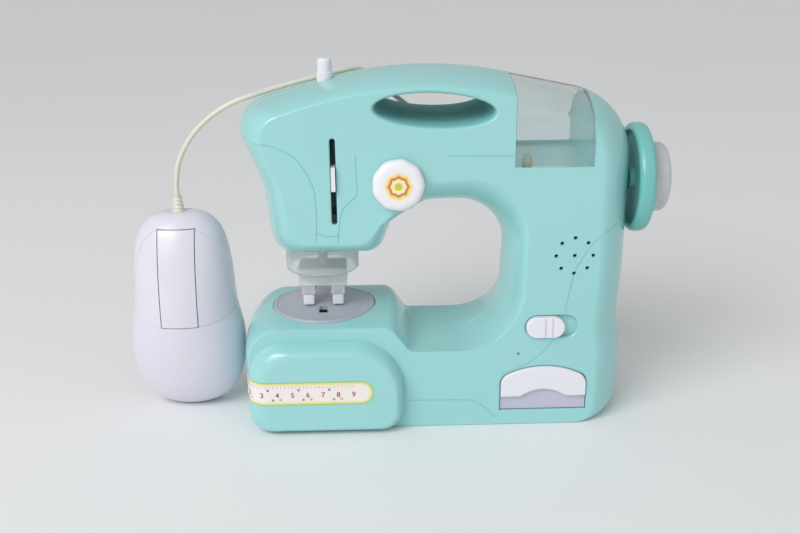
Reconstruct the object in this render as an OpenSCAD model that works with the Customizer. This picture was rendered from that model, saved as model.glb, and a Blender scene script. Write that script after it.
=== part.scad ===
// Toy sewing machine with a foot pedal on a lead.
// The origin is under the middle of the base. +X is the hand wheel's side, -Y is the front, +Z is up.

/* [Housing] */
// Width of the base and pillar at the parting line
body_w = 221; // [216:1:228]
// Height of the arm's crest
body_h = 202; // [198:1:210]
// Depth from front face to rear face
body_d = 72; // [70:1:80]
// Thickness of the moulded walls
wall = 2.2; // [1.8:0.1:2.6]
// Height of the bed under the needle, as a share of the crest's height
bed_share = 0.317; // [0.3:0.001:0.325]
// Height of the low floor of the throat, as a share of the crest's height
valley_share = 0.228; // [0.22:0.001:0.245]
// Height of the underside of the head, as a share of the crest's height
head_share = 0.49; // [0.482:0.001:0.508]
// Height of the throat's roof, as a share of the crest's height
throat_share = 0.634; // [0.615:0.001:0.638]
// Place of the throat's right wall
throat_x = 42; // [36:1:44]
// How far the front face steps in from the parting line at the pillar
side_inset = 21; // [16:1:24]
// Roundness of the shoulders, 1 is a flat bevel and 2 is an ellipse
shoulder_power = 1.7; // [1.4:0.1:2.2]

/* [Front block] */
// How far the block with the scale stands in front of the face
block_out = 10; // [6:1:14]
// How far the block's top lies under the bed
block_drop = 10; // [8:1:16]
// Length of the block from the left side
block_l = 92; // [82:1:98]

/* [Handle] */
// Length of the grip hole
grip_l = 64; // [50:1:68]
// Height of the grip hole
grip_h = 17.6; // [14:0.2:18]

/* [Window] */
// Left edge of the clear cover
window_x = 42; // [41:1:48]
// Width of the clear cover
window_w = 42; // [34:1:44]
// Height of the clear cover's lower edge, as a share of the crest's height
window_share = 0.752; // [0.748:0.001:0.77]
// Radius of the lamp
lamp_r = 2.5; // [1.5:0.1:4]

/* [Needle] */
// Place of the needle along the machine
needle_x = -64; // [-66:1:-62]
// Radius of the needle bar
bar_r = 3; // [2.5:0.1:3.4]
// Stroke of the needle bar
stroke = 12; // [8:1:13]
// Radius of the round needle plate
plate_r = 30; // [28:0.5:31]
// Thickness of the needle plate
plate_t = 3; // [2.5:0.1:4]
// Outer radius of the clear guard
guard_r = 21; // [20:0.5:22]
// Height of the guard's lower rim above the bed
guard_gap = 23; // [20:1:26]
// Width of the clear foot
foot_w = 28; // [24:1:30]
// Width of each toe
toe_w = 6.6; // [5:0.2:8]
// Height of each toe
toe_h = 7; // [5:0.5:9]
// Length of the slot on the head
slot_l = 47; // [44:1:50]
// Width of the slot on the head
slot_w = 3; // [2.8:0.1:3.6]

/* [Drive] */
// Height of the main shaft, as a share of the crest's height
shaft_share = 0.677; // [0.672:0.001:0.682]
// Radius of the main shaft
shaft_r = 2.5; // [2:0.1:3]
// Size of the gear teeth, pitch diameter over tooth count
gear_module = 0.9; // [0.8:0.05:1]
// Teeth on the shaft's gear
gear_teeth = 18; // [16:1:18]
// Teeth on the motor's pinion
pinion_teeth = 10; // [9:1:11]
// Radius of the hand wheel
wheel_r = 31; // [26:0.5:34]
// Thickness of the hand wheel
wheel_t = 9; // [7:0.5:12]
// Radius of the wheel's pale knob
knob_r = 20; // [15:0.5:24]
// Length of the wheel's pale knob
knob_l = 12; // [8:0.5:14]
// Length of the motor can
motor_l = 25; // [22:0.5:27]
// Height of the motor can
motor_h = 15; // [13:0.5:15.4]
// Depth of the motor can
motor_d = 20; // [18:0.5:22]

/* [Controls] */
// Radius of the front dial
dial_r = 14; // [11:0.5:15]
// Thickness of the front dial
dial_t = 7; // [5:0.5:9]
// Length of the switch recess
switch_l = 29.7; // [28:0.1:32]
// Height of the switch recess
switch_h = 13.3; // [12:0.1:15]
// Travel of the switch button
switch_travel = 7; // [5:0.5:9]
// Radius of the spool pin
spool_r = 4; // [3:0.1:5]
// Height of the spool pin above the crest
spool_out = 4.5; // [4:0.5:10]
// Radius of each sound hole
sound_r = 1.1; // [0.8:0.1:1.5]
// Radius of the ring of sound holes
sound_ring = 10.2; // [8:0.2:10.4]
// Radius of the speaker
speaker_r = 12; // [11.8:0.1:13]

/* [Drawer] */
// Width of the drawer
drawer_w = 49; // [42:1:50]
// Height of the drawer front at its sides
drawer_side_h = 20; // [16:1:22]
// Rise of the drawer front's arched top
drawer_arch = 7; // [4:1:9]
// Depth of the drawer
drawer_d = 48; // [47:1:54]
// Travel of the drawer until its side catches meet the front wall
drawer_travel = 38; // [28:1:38]

/* [Batteries] */
// Diameter of one cell
cell_d = 14.2; // [13.5:0.1:14.5]
// Length of one cell
cell_l = 50; // [49:0.5:51]
// Number of cells
cell_count = 3; // [2:1:3]

/* [Pedal] */
// Length of the pedal
pedal_l = 120; // [110:1:130]
// Half of the pedal's greatest width
pedal_half_w = 33.5; // [30:0.5:35]
// Greatest thickness of the pedal
pedal_t = 31; // [29:0.5:36]
// Thickness of the pedal's floor
pedal_floor = 5; // [4:0.5:6]
// Width of the pedal's key
key_w = 21.5; // [18:0.5:24]
// Length of the pedal's key
key_l = 56; // [50:1:58]
// Diameter of the lead
cord_d = 3; // [2.6:0.1:3.2]

/* [Fits] */
// Gap between a running shaft and its bore
run_gap = 0.05; // [0.03:0.01:0.08]
// Gap between parts that slide
slide_gap = 0.4; // [0.35:0.05:0.5]
// Gap between fixed parts that drop into each other
seat_gap = 0.2; // [0.1:0.05:0.25]

/* [Hidden] */
$fn = 48;
teal = "#7fd3d0";
deep_teal = "#2f9a97";
white = "#f4f4f6";
clear = [0.9, 0.95, 0.95, 0.45];
steel = "silver";

half_w = body_w / 2;
half_d = body_d / 2;
// Heights in whole millimetres, all from the crest's height
bed_z = round(bed_share * body_h);
valley_z = round(valley_share * body_h);
head_z = round(head_share * body_h);
throat_z = round(throat_share * body_h);
shaft_z = round(shaft_share * body_h);
window_z = round(window_share * body_h);
brow_z = head_z + round(0.41 * (body_h - head_z));
block_h = bed_z - block_drop;
face_y = -half_d;
inside_y = face_y + wall;
arc_steps = 5;
big = 400;

// Corners of the housing seen from the front, counter-clockwise from the lower left: place and radius at
// the parting line, then how far the face's corner lies from it and the face's own radius.
crest_x = -12;
throat_left = -21;
step_x = -22;
corner_inset = 5;
waist_z = valley_z + 10;
body_corners = [
    [-half_w, 0, 14, corner_inset, 0, 12],
    [half_w, 0, 12, -side_inset, 0, 10],
    [half_w + 0.8, waist_z - 13, 16, -side_inset, 0, 16],
    [half_w - 2, waist_z, 9, -side_inset, 0, 9],
    [half_w, waist_z + 36, 90, -side_inset, 0, 90],
    [half_w, body_h - 19, 40, -side_inset, -7, 32],
    [crest_x, body_h + 6, 220, 0, -5, 220],
    [-half_w - 2.5, body_h - 22, 16, 16, -4, 14],
    [-half_w + 14.5, brow_z, 50, 14, 0, 50],
    [-half_w + 19.5, head_z, 12, 13, 12, 12],
    [throat_left - 9, head_z, 10, -8, 12, 10],
    [throat_left, throat_z - 4, 12, -10, -3, 8],
    [throat_left + 19, throat_z - 0.5, 40, -3, 18, 12],
    [throat_x, throat_z, 28, 9, 20, 32],
    [throat_x - 3.5, valley_z, 32, 11, 0.5, 36],
    [step_x + 10, valley_z, 6, -3, 0.5, 6],
    [step_x, bed_z, 8, -4, -3, 8],
    [-half_w, bed_z, 22, corner_inset, -3, 18]];
line_corners = [for (c = body_corners) [c[0], c[1], c[2]]];
face_corners = [for (c = body_corners) [c[0] + c[3], c[1] + c[4], c[5]]];

// Front block with the scale, seen from the front
block_corners = [
    [-half_w + 4, 0.5, 10],
    [-half_w + block_l, 0.5, 12],
    [-half_w + block_l, block_h, 28],
    [-half_w + 4, block_h, 20]];
block_face_corners = [
    [-half_w + 15, 5, 8],
    [-half_w + block_l - 5, 5, 10],
    [-half_w + block_l - 5, block_h - 6, 24],
    [-half_w + 15, block_h - 6, 16]];

// Shares of the half depth at which the housing's shoulder is cut into rings
shoulder_steps = [0, 0.35, 0.6, 0.78, 0.9, 0.97, 1];
inner_steps = [1, 0.9, 0.6, 0];
lip = 3;
plate_recess = 0.1;

grip_x = -1;
grip_z = body_h - 19;
grip_tilt = -2.8;
window_right = window_x + window_w;
chamber_floor = window_z - 2;
chamber_t = 2;

plate_top = bed_z;
plate_slot_w = 5;
plate_slot_far = 16;
plate_slot_near = 5;
guard_wall = 1.6;
notch_h = 4;
notch_y = 12;
speaker_rim = 2.5;
speaker_l = 9;
magnet_inset = 4;
cone_inset = 2;
foot_base = bed_z + 0.5;
foot_d = 20;
foot_top = foot_base + 24;
foot_wall = 1.5;
foot_rib = 2.2;
leg_low = foot_base + toe_h;
leg_w = 8;
leg_inset = 5.5;
needle_r = 1;
bar_bottom = foot_top - 4;
crank_throw = stroke / 2;
crank_r = crank_throw + 3;
crank_x = needle_x + 12;
crank_t = 4;
crank_pin_r = 1.5;
crank_pin_l = 5;
yoke_x = crank_x - crank_pin_l - 0.5;
yoke_t = 3;
yoke_z = shaft_z - crank_throw;
guide_z = head_z + 13;
guide_t = 3;
guide_half = bar_r + 3;
slot_x = needle_x + 9;
slot_z = shaft_z + 8.5;
tab_h = 13;
tab_z = slot_z + 2;
clamp_h = 8;
upper_guide_z = tab_z + clamp_h / 2 + stroke + 1.5;
bar_top = upper_guide_z + guide_t + 2;

gear_x = 62;
gear_w = 5;
gear_r = gear_module * gear_teeth / 2;
pinion_r = gear_module * pinion_teeth / 2;
mesh_gap = 0.15;
motor_z = shaft_z - gear_r - pinion_r - mesh_gap;
motor_x = gear_x + 9;
motor_shaft_r = 1;
rib_t = 3;
rib_left = needle_x + 20;
rib_right = half_w - 12;
rib_h = 16;
rib_front = 7;
wheel_x = half_w + 1;

dial_x = -20.5;
dial_z = throat_z + 16.4;
boss_r = dial_r + 1.2;
boss_l = 12;
dial_pin_r = 2.5;
dial_gap = 0.3;
switch_x = 64.8;
switch_z = valley_z + 14.3;
switch_depth = 3;
button_l = switch_l - switch_travel - 2 * slide_gap;
button_h = switch_h - 2 * slide_gap;
button_x = switch_x - switch_l / 2 + slide_gap + button_l / 2;
button_out = 2.5;
stem_w = 4;
stem_h = 2.2;
spool_x = needle_x + 4.7;
spool_seat_z = body_h - 3;
spool_base_z = body_h - 17;
spool_seat_r = spool_r + 0.6;
sound_x = 76;
sound_z = throat_z - 26;

drawer_x = 61.5;
drawer_z = 9;
drawer_wall = 1.8;
catch_out = 1.6;
catch_t = 2;
rail_inset = 6;
rail_t = 2;
board_y = half_d - 16;
board_x = 54;
board_z = valley_z + 7;
board_w = 36;
board_h = 44;
board_t = 1.6;
cell_gap = 0.4;
cell_nub_r = 2.6;
box_l = cell_l + 8;
box_w = cell_count * (cell_d + cell_gap) + 2;
box_x = -12;
box_h = cell_d + 2;
door_edge = 6;
flange_edge = door_edge + 3;
door_screw_x = box_x + box_l / 2 + door_edge / 2;
door_t = wall;

screw_places = [[-80, body_h - 34, inside_y], [14, body_h - 40, inside_y], [82, valley_z + 1, inside_y],
    [31, valley_z - 16, inside_y], [-92, bed_z - 34, inside_y - block_out]];
screw_r = 1.4;
screw_head_r = 2.6;
screw_grip = 12;
screw_sink = 20;
post_r = 4;

pedal_x = -half_w - pedal_half_w - 2;
pedal_y = 10;
// Stations along the pedal: share of the length, share of the half width, share of the thickness
pedal_stations = [[0, 0.24, 0.3], [0.025, 0.52, 0.46], [0.085, 0.78, 0.66], [0.2, 0.96, 0.84],
    [0.375, 1, 0.97], [0.55, 0.89, 1], [0.75, 0.84, 0.9], [0.9, 0.72, 0.72], [0.975, 0.5, 0.52],
    [1, 0.26, 0.34]];
pedal_sides = 20;
key_z = pedal_l * 0.475;
key_top = key_z + key_l;
key_pivot_z = key_z + 3;
key_pivot_y = pedal_y - pedal_t + 8;
key_pin_r = 1;
key_angle = 3;
plunger_z = key_top - 17;
key_gap = 0.5;
plunger_gap = 1;
relief_l = 9;
relief_y = pedal_y - 5;
gland_x = 60;
gland_z = 10;
gland_out = 5;
gland_r = 3;
// Peg behind the pillar that carries the lead
peg_x = 53;
peg_z = throat_z + 11.5;
peg_r = 2.2;
peg_l = 6.5;

// Route of the lead from the pedal's strain relief to the gland at the back
cord_points = [[-146, 5, 129.05], [-146, 5, 136], [-143.5, 5, 149], [-136, 5, 162.5], [-125, 4.5, 173.5],
    [-113, 4.5, 181], [-102, 5.5, 185], [-92, 9, 187.6], [-80, 13, 190.5], [-68, 17, 193], [-57, 22, 195.1],
    [-48, 28, 196.1], [-42, 33.5, 195.8], [-37, 37.8, 193.5], [-31, 40, 188], [-20, 40.4, 178.5],
    [0, 40.4, 163.5], [20, 40.4, 152], [38, 40.4, 145.5], [50, 40.4, 143.9], [57, 40.6, 140.6],
    [58.5, 41, 131], [58.3, 43, 100], [57, 47, 60], [54, 52, 30], [48, 57, 12], [38, 61, 3.5],
    [24, 64, 1.8], [6, 68, 1.7], [-10, 74, 1.7], [-17, 83, 1.7], [-12, 92, 1.7], [4, 95, 1.7],
    [24, 91, 1.7], [42, 83, 1.8], [54, 72, 2.5], [59, 61, 5.5], [60, 51, 9], [60, 45, 10], [60, 41.05, 10]];
cord_steps = 2;

function unit(v) = v / norm(v);
function turn(a, b) = atan2(a[0] * b[1] - a[1] * b[0], a * b);

// One rounded corner as a row of points, moved inwards by inset
function corner_arc(before, corner, after, inset) =
    let (r = corner[2],
        here = [corner[0], corner[1]],
        come = unit(here - [before[0], before[1]]),
        go = unit([after[0], after[1]] - here),
        bend = turn(come, go),
        side = bend > 0 ? 1 : -1,
        normal = [come[1], -come[0]],
        start = here - come * r * tan(abs(bend) / 2),
        centre = start - side * r * normal,
        first = atan2(normal[1], normal[0]),
        reach = r - side * inset)
    [for (k = [0 : arc_steps])
        let (a = first + bend * k / arc_steps)
        centre + side * reach * [cos(a), sin(a)]];

// A closed outline with rounded corners
function outline(corners, inset = 0) =
    let (n = len(corners))
    [for (i = [0 : n - 1])
        each corner_arc(corners[(i + n - 1) % n], corners[i], corners[(i + 1) % n], inset)];

function mix(a, b, t) = [for (i = [0 : len(a) - 1]) a[i] * (1 - t) + b[i] * t];
function shoulder(h) = 1 - pow(1 - pow(h, shoulder_power), 1 / shoulder_power);
function lift(flat, y) = [for (p = flat) [p[0], y, p[1]]];

// A ring of the housing's skin at a share of the half depth, measured towards the front
function skin_ring(share, inset) =
    let (reach = half_d - inset)
    lift(mix(outline(line_corners, inset), outline(face_corners, inset), shoulder(share)), -share * reach);

function front_rings() = concat(
    [for (s = shoulder_steps) skin_ring(s, 0)],
    [lift(outline(face_corners, lip), face_y), lift(outline(face_corners, lip), inside_y)],
    [for (s = inner_steps) skin_ring(s, wall)]);

function flip_y(ring) = [for (p = ring) [p[0], -p[1], p[2]]];
function backwards(list) = [for (i = [len(list) - 1 : -1 : 0]) list[i]];

// Rings from the rear lip round the outside to the front lip, then back along the inside
function saddle_rings() =
    let (n = len(shoulder_steps),
        m = len(inner_steps),
        out = [for (s = shoulder_steps) skin_ring(s, 0)],
        back = [for (s = inner_steps) skin_ring(s, wall)],
        edge = [lift(outline(face_corners, lip), face_y), lift(outline(face_corners, lip), inside_y)])
    concat([flip_y(edge[1]), flip_y(edge[0])],
        [for (i = [n - 1 : -1 : 1]) flip_y(out[i])], out, edge, back,
        [for (i = [m - 2 : -1 : 0]) flip_y(back[i])]);

// A closed band of rings, the last joined to the first
module ring_band(rings) {
    count = len(rings);
    size = len(rings[0]);
    points = [for (r = rings) each r];
    faces = [for (j = [0 : count - 1]) for (i = [0 : size - 1])
        let (a = j * size + i, b = j * size + (i + 1) % size,
            c = ((j + 1) % count) * size + (i + 1) % size, d = ((j + 1) % count) * size + i)
        each [[a, c, b], [a, d, c]]];
    polyhedron(points, faces);
}

// A solid through rings with closed ends
module ring_loft(rings) {
    count = len(rings);
    size = len(rings[0]);
    points = [for (r = rings) each r];
    sides = [for (j = [0 : count - 2]) for (i = [0 : size - 1])
        let (a = j * size + i, b = j * size + (i + 1) % size, c = b + size, d = a + size)
        each [[a, c, b], [a, d, c]]];
    ends = [[for (i = [0 : size - 1]) i], [for (i = [size - 1 : -1 : 0]) (count - 1) * size + i]];
    polyhedron(points, concat(sides, ends));
}

// A flat shape drawn in X and Z, standing from y_low to y_high
module upright(y_low, y_high) {
    translate([0, y_high, 0]) rotate([90, 0, 0]) linear_extrude(y_high - y_low) children();
}

// A shape drawn in Y and Z, from x_low to x_high
module crosswise(x_low, x_high) {
    translate([x_low, 0, 0]) rotate([90, 0, 90]) linear_extrude(x_high - x_low) children();
}

module rod_x(x_low, x_high, r, y = 0, z = 0) {
    translate([x_low, y, z]) rotate([0, 90, 0]) cylinder(h = x_high - x_low, r = r);
}

module rod_y(y_low, y_high, r, x = 0, z = 0) {
    translate([x, y_high, z]) rotate([90, 0, 0]) cylinder(h = y_high - y_low, r = r);
}

module rod_z(z_low, z_high, r, x = 0, y = 0) {
    translate([x, y, z_low]) cylinder(h = z_high - z_low, r = r);
}

module box(low, high) {
    translate(low) cube(high - low);
}

module stadium(l, h) {
    square([l - h, h], center = true);
    for (s = [-1, 1]) translate([s * (l - h) / 2, 0]) circle(d = h);
}

module grip_shape(grow = 0) {
    translate([grip_x, grip_z]) rotate(grip_tilt) polygon([for (k = [0 : 35])
        let (a = k * 10)
        [(grip_l / 2 + grow) * cos(a), (grip_h / 2 + grow) * sin(a)]]);
}

module front_face() {
    upright(face_y + plate_recess, inside_y + plate_recess) polygon(outline(face_corners, lip / 2));
}

// Drawer front with an arched top
module drawer_shape(grow = 0) {
    low = drawer_z - grow;
    half = drawer_w / 2 + grow;
    top = drawer_z + drawer_side_h + drawer_arch + grow;
    radius = (half * half + drawer_arch * drawer_arch) / (2 * drawer_arch);
    translate([drawer_x, 0]) intersection() {
        translate([-half, low]) square([2 * half, top - low + 1]);
        translate([0, top - radius]) circle(radius, $fn = 160);
    }
}

module block_loft(inset, reach) {
    wide = outline(block_corners, inset);
    tight = outline(block_face_corners, inset);
    steps = [0, 0.4, 0.7, 0.9, 1];
    top = face_y - block_out + inset;
    rings = concat([lift(wide, reach)],
        [for (s = steps)
            lift(mix(wide, tight, 1 - sqrt(1 - s * s)), face_y + 2 + (top - face_y - 2) * s)]);
    ring_loft(rings);
}

module window_block(grow = 0) {
    box([window_x - grow, -big, window_z - grow], [window_right + grow, big, body_h + 20]);
}

// Seat for the needle plate, the half that belongs to one shell
module plate_seat(front) {
    seat_r = plate_r + 2;
    intersection() {
        difference() {
            rod_z(plate_top - plate_t - 3, bed_z - 1, seat_r, needle_x);
            rod_z(0, bed_z, plate_r - 4, needle_x);
        }
        box([-big, front ? -half_d + wall : 0, 0], [big, front ? 0 : half_d - wall, bed_z]);
    }
}

module shared_cuts() {
    rod_z(plate_top - plate_t, bed_z + 10, plate_r + seat_gap, needle_x);
    rod_z(head_z - 5, guide_z, guard_r + seat_gap, needle_x);
    rod_z(spool_base_z, body_h + 5, spool_seat_r + seat_gap, spool_x);
    rod_x(half_w - 6, half_w + 5, shaft_r + 0.6, 0, shaft_z);
    window_block(seat_gap);
    upright(-big, big) grip_shape();
    box([box_x - box_l / 2 - door_edge, -box_w / 2 - door_edge, -1],
        [box_x + box_l / 2 + door_edge, box_w / 2 + door_edge, wall + 1]);
}

// Front wall and shoulders, with the hollow block
module front_skin() difference() {
    union() {
        ring_band(front_rings());
        front_face();
        block_loft(0, inside_y + 0.5);
    }
    block_loft(wall, inside_y + 3);
}

module front_shell() color(teal) difference() {
    union() {
        front_skin();
        plate_seat(true);
        upright(inside_y - 0.5, -0.1) difference() {
            grip_shape(wall);
            grip_shape();
        }
        rod_y(face_y + plate_recess, face_y + boss_l, boss_r, dial_x, dial_z);
        upright(inside_y, inside_y + switch_depth) translate([switch_x, switch_z])
            stadium(switch_l + 2 * wall, switch_h + 2 * wall);
        rod_y(inside_y, inside_y + 5, speaker_r + 1.6, sound_x, sound_z);
        for (p = screw_places) rod_y(p[2], -0.1, post_r, p[0], p[1]);
        drawer_rails(inside_y, -0.1);
    }
    shared_cuts();
    rod_y(face_y + wall, face_y + boss_l, boss_r - wall, dial_x, dial_z);
    rod_y(face_y - 5, 0, dial_pin_r + run_gap, dial_x, dial_z);
    upright(face_y - 5, 0) translate([slot_x, slot_z]) rotate(90) stadium(slot_l, slot_w);
    upright(face_y - 5, face_y + switch_depth) translate([switch_x, switch_z]) stadium(switch_l, switch_h);
    upright(face_y - 5, 0) translate([switch_x, switch_z])
        square([switch_travel + stem_w + 2, stem_h + 2 * slide_gap], center = true);
    rod_y(inside_y + plate_recess, 0, speaker_r + seat_gap, sound_x, sound_z);
    rod_y(face_y - 5, 0, sound_r, sound_x, sound_z);
    for (k = [0 : 7])
        rod_y(face_y - 5, 0, sound_r, sound_x + sound_ring * cos(k * 45), sound_z + sound_ring * sin(k * 45));
    upright(face_y - 5, inside_y + 1) drawer_shape(slide_gap);
    for (p = screw_places) rod_y(-screw_grip - 2, 1, screw_r, p[0], p[1]);
}

// Depth of the pillar's rounded side at a place along the machine
function side_depth(x, inset) =
    let (step = max(0, half_w - inset - x) / side_inset)
    step >= 1 ? half_d - inset
        : (half_d - inset) * pow(1 - pow(1 - step, shoulder_power), 1 / shoulder_power);

// Middle of the rear wall's thickness, where ribs end
function rear_reach(x) = (side_depth(x, 0) + side_depth(x, wall)) / 2;

// Upright rib on the rear wall that carries the main shaft
module shaft_rib(x) {
    box([x, -rib_front, shaft_z - rib_h / 2], [x + rib_t, rear_reach(x + rib_t), shaft_z + rib_h / 2]);
}

// Two rails under the drawer, from y_low to y_high
module drawer_rails(y_low, y_high) {
    for (s = [-1, 1])
        translate([drawer_x + s * (drawer_w / 2 - rail_inset), 0, 0])
            box([-rail_t / 2, y_low, wall / 2], [rail_t / 2, y_high, drawer_z - slide_gap]);
}

module rear_shell() color(teal) difference() {
    union() {
        mirror([0, 1, 0]) {
            ring_band(front_rings());
            front_face();
        }
        plate_seat(false);
        upright(0.1, -inside_y + 0.5) difference() {
            grip_shape(wall);
            grip_shape();
        }
        shaft_rib(rib_left);
        shaft_rib(rib_right);
        for (z = [guide_z, upper_guide_z])
            box([needle_x - guide_half, -rib_front, z],
                [needle_x + guide_half, half_d - wall / 2, z + guide_t]);
        box([motor_x + 2, -motor_d / 2, motor_z - motor_h / 2 - rib_t],
            [motor_x + motor_l - 2, rear_reach(motor_x + motor_l - 2), motor_z - motor_h / 2]);
        for (p = screw_places) rod_y(0.1, half_d - wall / 2, post_r, p[0], p[1]);
        drawer_rails(0.1, half_d - wall / 2);
        for (p = board_posts()) rod_y(board_y + board_t, rear_reach(p[0] + 2.5), 2.5, p[0], p[1]);
        rod_y(half_d - wall / 2, half_d + peg_l, peg_r, peg_x, peg_z);
        rod_y(half_d + peg_l, half_d + peg_l + 1.5, peg_r + 1.4, peg_x, peg_z);
    }
    shared_cuts();
    rod_x(rib_left - 1, rib_right + rib_t + 1, shaft_r + run_gap, 0, shaft_z);
    rod_z(guide_z - 1, bar_top, bar_r + run_gap, needle_x);
    rod_y(half_d - 8, half_d + 5, gland_r + seat_gap, gland_x, gland_z);
    for (p = screw_places) {
        rod_y(-1, half_d + 1, screw_r + seat_gap, p[0], p[1]);
        rod_y(half_d - screw_sink, half_d + 1, screw_head_r + seat_gap, p[0], p[1]);
    }
}

function board_posts() = [for (i = [0, 1]) for (j = [0, 1])
    [board_x + 4 + i * (board_w - 8), board_z + 4 + j * (board_h - 8)]];

module window_cover() color(clear) intersection() {
    union() {
        ring_band(saddle_rings());
        front_face();
        mirror([0, 1, 0]) front_face();
    }
    window_block();
}

// Height of the housing's skin above a place along the machine, at a share of the half depth
function skin_top(x, share) =
    let (ring = skin_ring(share, wall), n = len(ring))
    max([for (i = [0 : n - 1])
        let (a = ring[i], b = ring[(i + 1) % n])
        if (min(a[0], b[0]) <= x && x <= max(a[0], b[0]) && abs(a[0] - b[0]) > 0.01)
            a[2] + (b[2] - a[2]) * (x - a[0]) / (b[0] - a[0])]);

module chamber_wall(x, x_low) {
    reach = half_d - wall - seat_gap;
    half = [for (s = [0, 0.35, 0.6, 0.78, 0.9, 0.97]) [-s * reach, skin_top(x, s) - 0.5]];
    crosswise(x_low, x_low + chamber_t)
        polygon(concat([[-half[5][0], chamber_floor - chamber_t], [half[5][0], chamber_floor - chamber_t]],
            backwards(half), [for (i = [1 : 5]) [-half[i][0], half[i][1]]]));
}

module light_chamber() color(teal) union() {
    box([window_x - chamber_t, inside_y + 0.3, chamber_floor - chamber_t],
        [window_right + chamber_t, -inside_y - 0.3, chamber_floor]);
    chamber_wall(window_x, window_x - chamber_t);
    chamber_wall(window_right + chamber_t, window_right);
}

module lamp() color("#fff2c8") translate([window_x + 8, face_y + 13, chamber_floor]) {
    cylinder(h = 1, r = lamp_r + 0.5);
    cylinder(h = lamp_r + 2, r = lamp_r);
    translate([0, 0, lamp_r + 2]) sphere(lamp_r);
}

module needle_plate() color([0.93, 0.95, 0.97, 0.8]) difference() {
    rod_z(plate_top - plate_t, plate_top, plate_r, needle_x);
    box([needle_x - plate_slot_w / 2, -plate_slot_far, 0],
        [needle_x + plate_slot_w / 2, -plate_slot_near, bed_z + 1]);
}

module needle_guard() color(clear) difference() {
    rod_z(bed_z + guard_gap, guide_z, guard_r, needle_x);
    rod_z(0, guide_z + 1, guard_r - guard_wall, needle_x);
    box([needle_x - guard_r, -big, guide_z - notch_h], [needle_x + guard_r, -notch_y, guide_z + 1]);
}

module spool_pin() color(white) {
    top = body_h + spool_out;
    rod_z(spool_seat_z - 1, top - 1.5, spool_r, spool_x);
    translate([spool_x, 0, top - 1.5]) cylinder(h = 1.5, r1 = spool_r, r2 = spool_r - 1.5);
    rod_z(spool_base_z, spool_seat_z, spool_seat_r, spool_x);
    rod_z(spool_base_z, spool_base_z + 2, spool_seat_r + 2, spool_x);
}

module speaker() color("#33363a") translate([sound_x, inside_y + plate_recess, sound_z]) rotate([-90, 0, 0])
    rotate_extrude() polygon([[0, speaker_rim / 2], [speaker_r / 4, speaker_rim / 2],
        [speaker_r - cone_inset, 0], [speaker_r, 0], [speaker_r, speaker_rim],
        [speaker_r - magnet_inset, 2 * speaker_rim], [speaker_r - magnet_inset, speaker_l], [0, speaker_l]]);

module circuit_board() color("#2f7a45") {
    box([board_x, board_y, board_z], [board_x + board_w, board_y + board_t, board_z + board_h]);
    box([board_x + 12, board_y - 2.5, board_z + 14], [board_x + 24, board_y + 0.5, board_z + 26]);
}

module battery_box() color("#5fb9b6") difference() {
    union() {
        box([box_x - box_l / 2 - 1.5, -box_w / 2 - 1.5, wall + 0.1],
            [box_x + box_l / 2 + 1.5, box_w / 2 + 1.5, wall + box_h + 1.5]);
        box([box_x - box_l / 2 - flange_edge, -box_w / 2 - flange_edge, wall],
            [box_x + box_l / 2 + flange_edge, box_w / 2 + flange_edge, wall + 2]);
        rod_z(wall, wall + 8, 2 * screw_r, door_screw_x);
    }
    box([box_x - box_l / 2, -box_w / 2, 0], [box_x + box_l / 2, box_w / 2, wall + box_h]);
    rod_z(0, wall + 7, screw_r, door_screw_x);
}

module battery_cells() color("#3b3f45")
    for (i = [0 : cell_count - 1])
        let (y = (i - (cell_count - 1) / 2) * (cell_d + cell_gap), z = wall + cell_d / 2 + 0.2) {
            rod_x(box_x - cell_l / 2, box_x + cell_l / 2 - 1, cell_d / 2, y, z);
            rod_x(box_x - cell_l / 2, box_x + cell_l / 2, cell_nub_r, y, z);
        }

module battery_door() color(teal) difference() {
    box([box_x - box_l / 2 - door_edge + seat_gap, -box_w / 2 - door_edge + seat_gap, 0],
        [box_x + box_l / 2 + door_edge - seat_gap, box_w / 2 + door_edge - seat_gap, door_t]);
    rod_z(-1, door_t + 1, screw_r + seat_gap, door_screw_x);
}

module door_screw() color(steel)
    rod_z(0.2, wall + 6, screw_r, door_screw_x);

module motor() color("#c9ccd0") difference() {
    crosswise(motor_x, motor_x + motor_l) translate([0, motor_z]) intersection() {
        square([motor_d, motor_h], center = true);
        circle(d = motor_d);
    }
    rod_x(motor_x - 1, motor_x + motor_l - 2, motor_shaft_r + run_gap, 0, motor_z);
}

module housing_screws() color(steel)
    for (p = screw_places) {
        rod_y(-screw_grip, half_d - screw_sink, screw_r, p[0], p[1]);
        rod_y(half_d - screw_sink, half_d - screw_sink + 2, screw_head_r, p[0], p[1]);
    }

module switch_body() color("#2b2d30")
    box([switch_x - 9, inside_y + switch_depth, switch_z - 4],
        [switch_x + 9, inside_y + switch_depth + 5, switch_z + 4]);

module cord_gland() color("#e9e6da") {
    rod_y(half_d - wall - 2, half_d, gland_r, gland_x, gland_z);
    rod_y(half_d, half_d + 1.5, gland_r + 2, gland_x, gland_z);
    rod_y(half_d + 1.5, half_d + gland_out, gland_r + 0.2, gland_x, gland_z);
}

module main_shaft() color(steel)
    rod_x(crank_x, wheel_x + wheel_t, shaft_r, 0, shaft_z);

// Spur gear lying along X, with a bore
module spur(teeth, width, bore) {
    pitch = gear_module * teeth / 2;
    root = pitch - 1.25 * gear_module;
    tip = pitch + gear_module;
    step = 360 / teeth;
    base_half = 0.27 * step;
    tip_half = 0.09 * step;
    crosswise(0, width) difference() {
        polygon([for (k = [0 : teeth - 1]) each
            [for (q = [[root, -base_half], [tip, -tip_half], [tip, tip_half], [root, base_half]])
                q[0] * [cos(k * step + q[1]), sin(k * step + q[1])]]]);
        circle(bore);
    }
}

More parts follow.
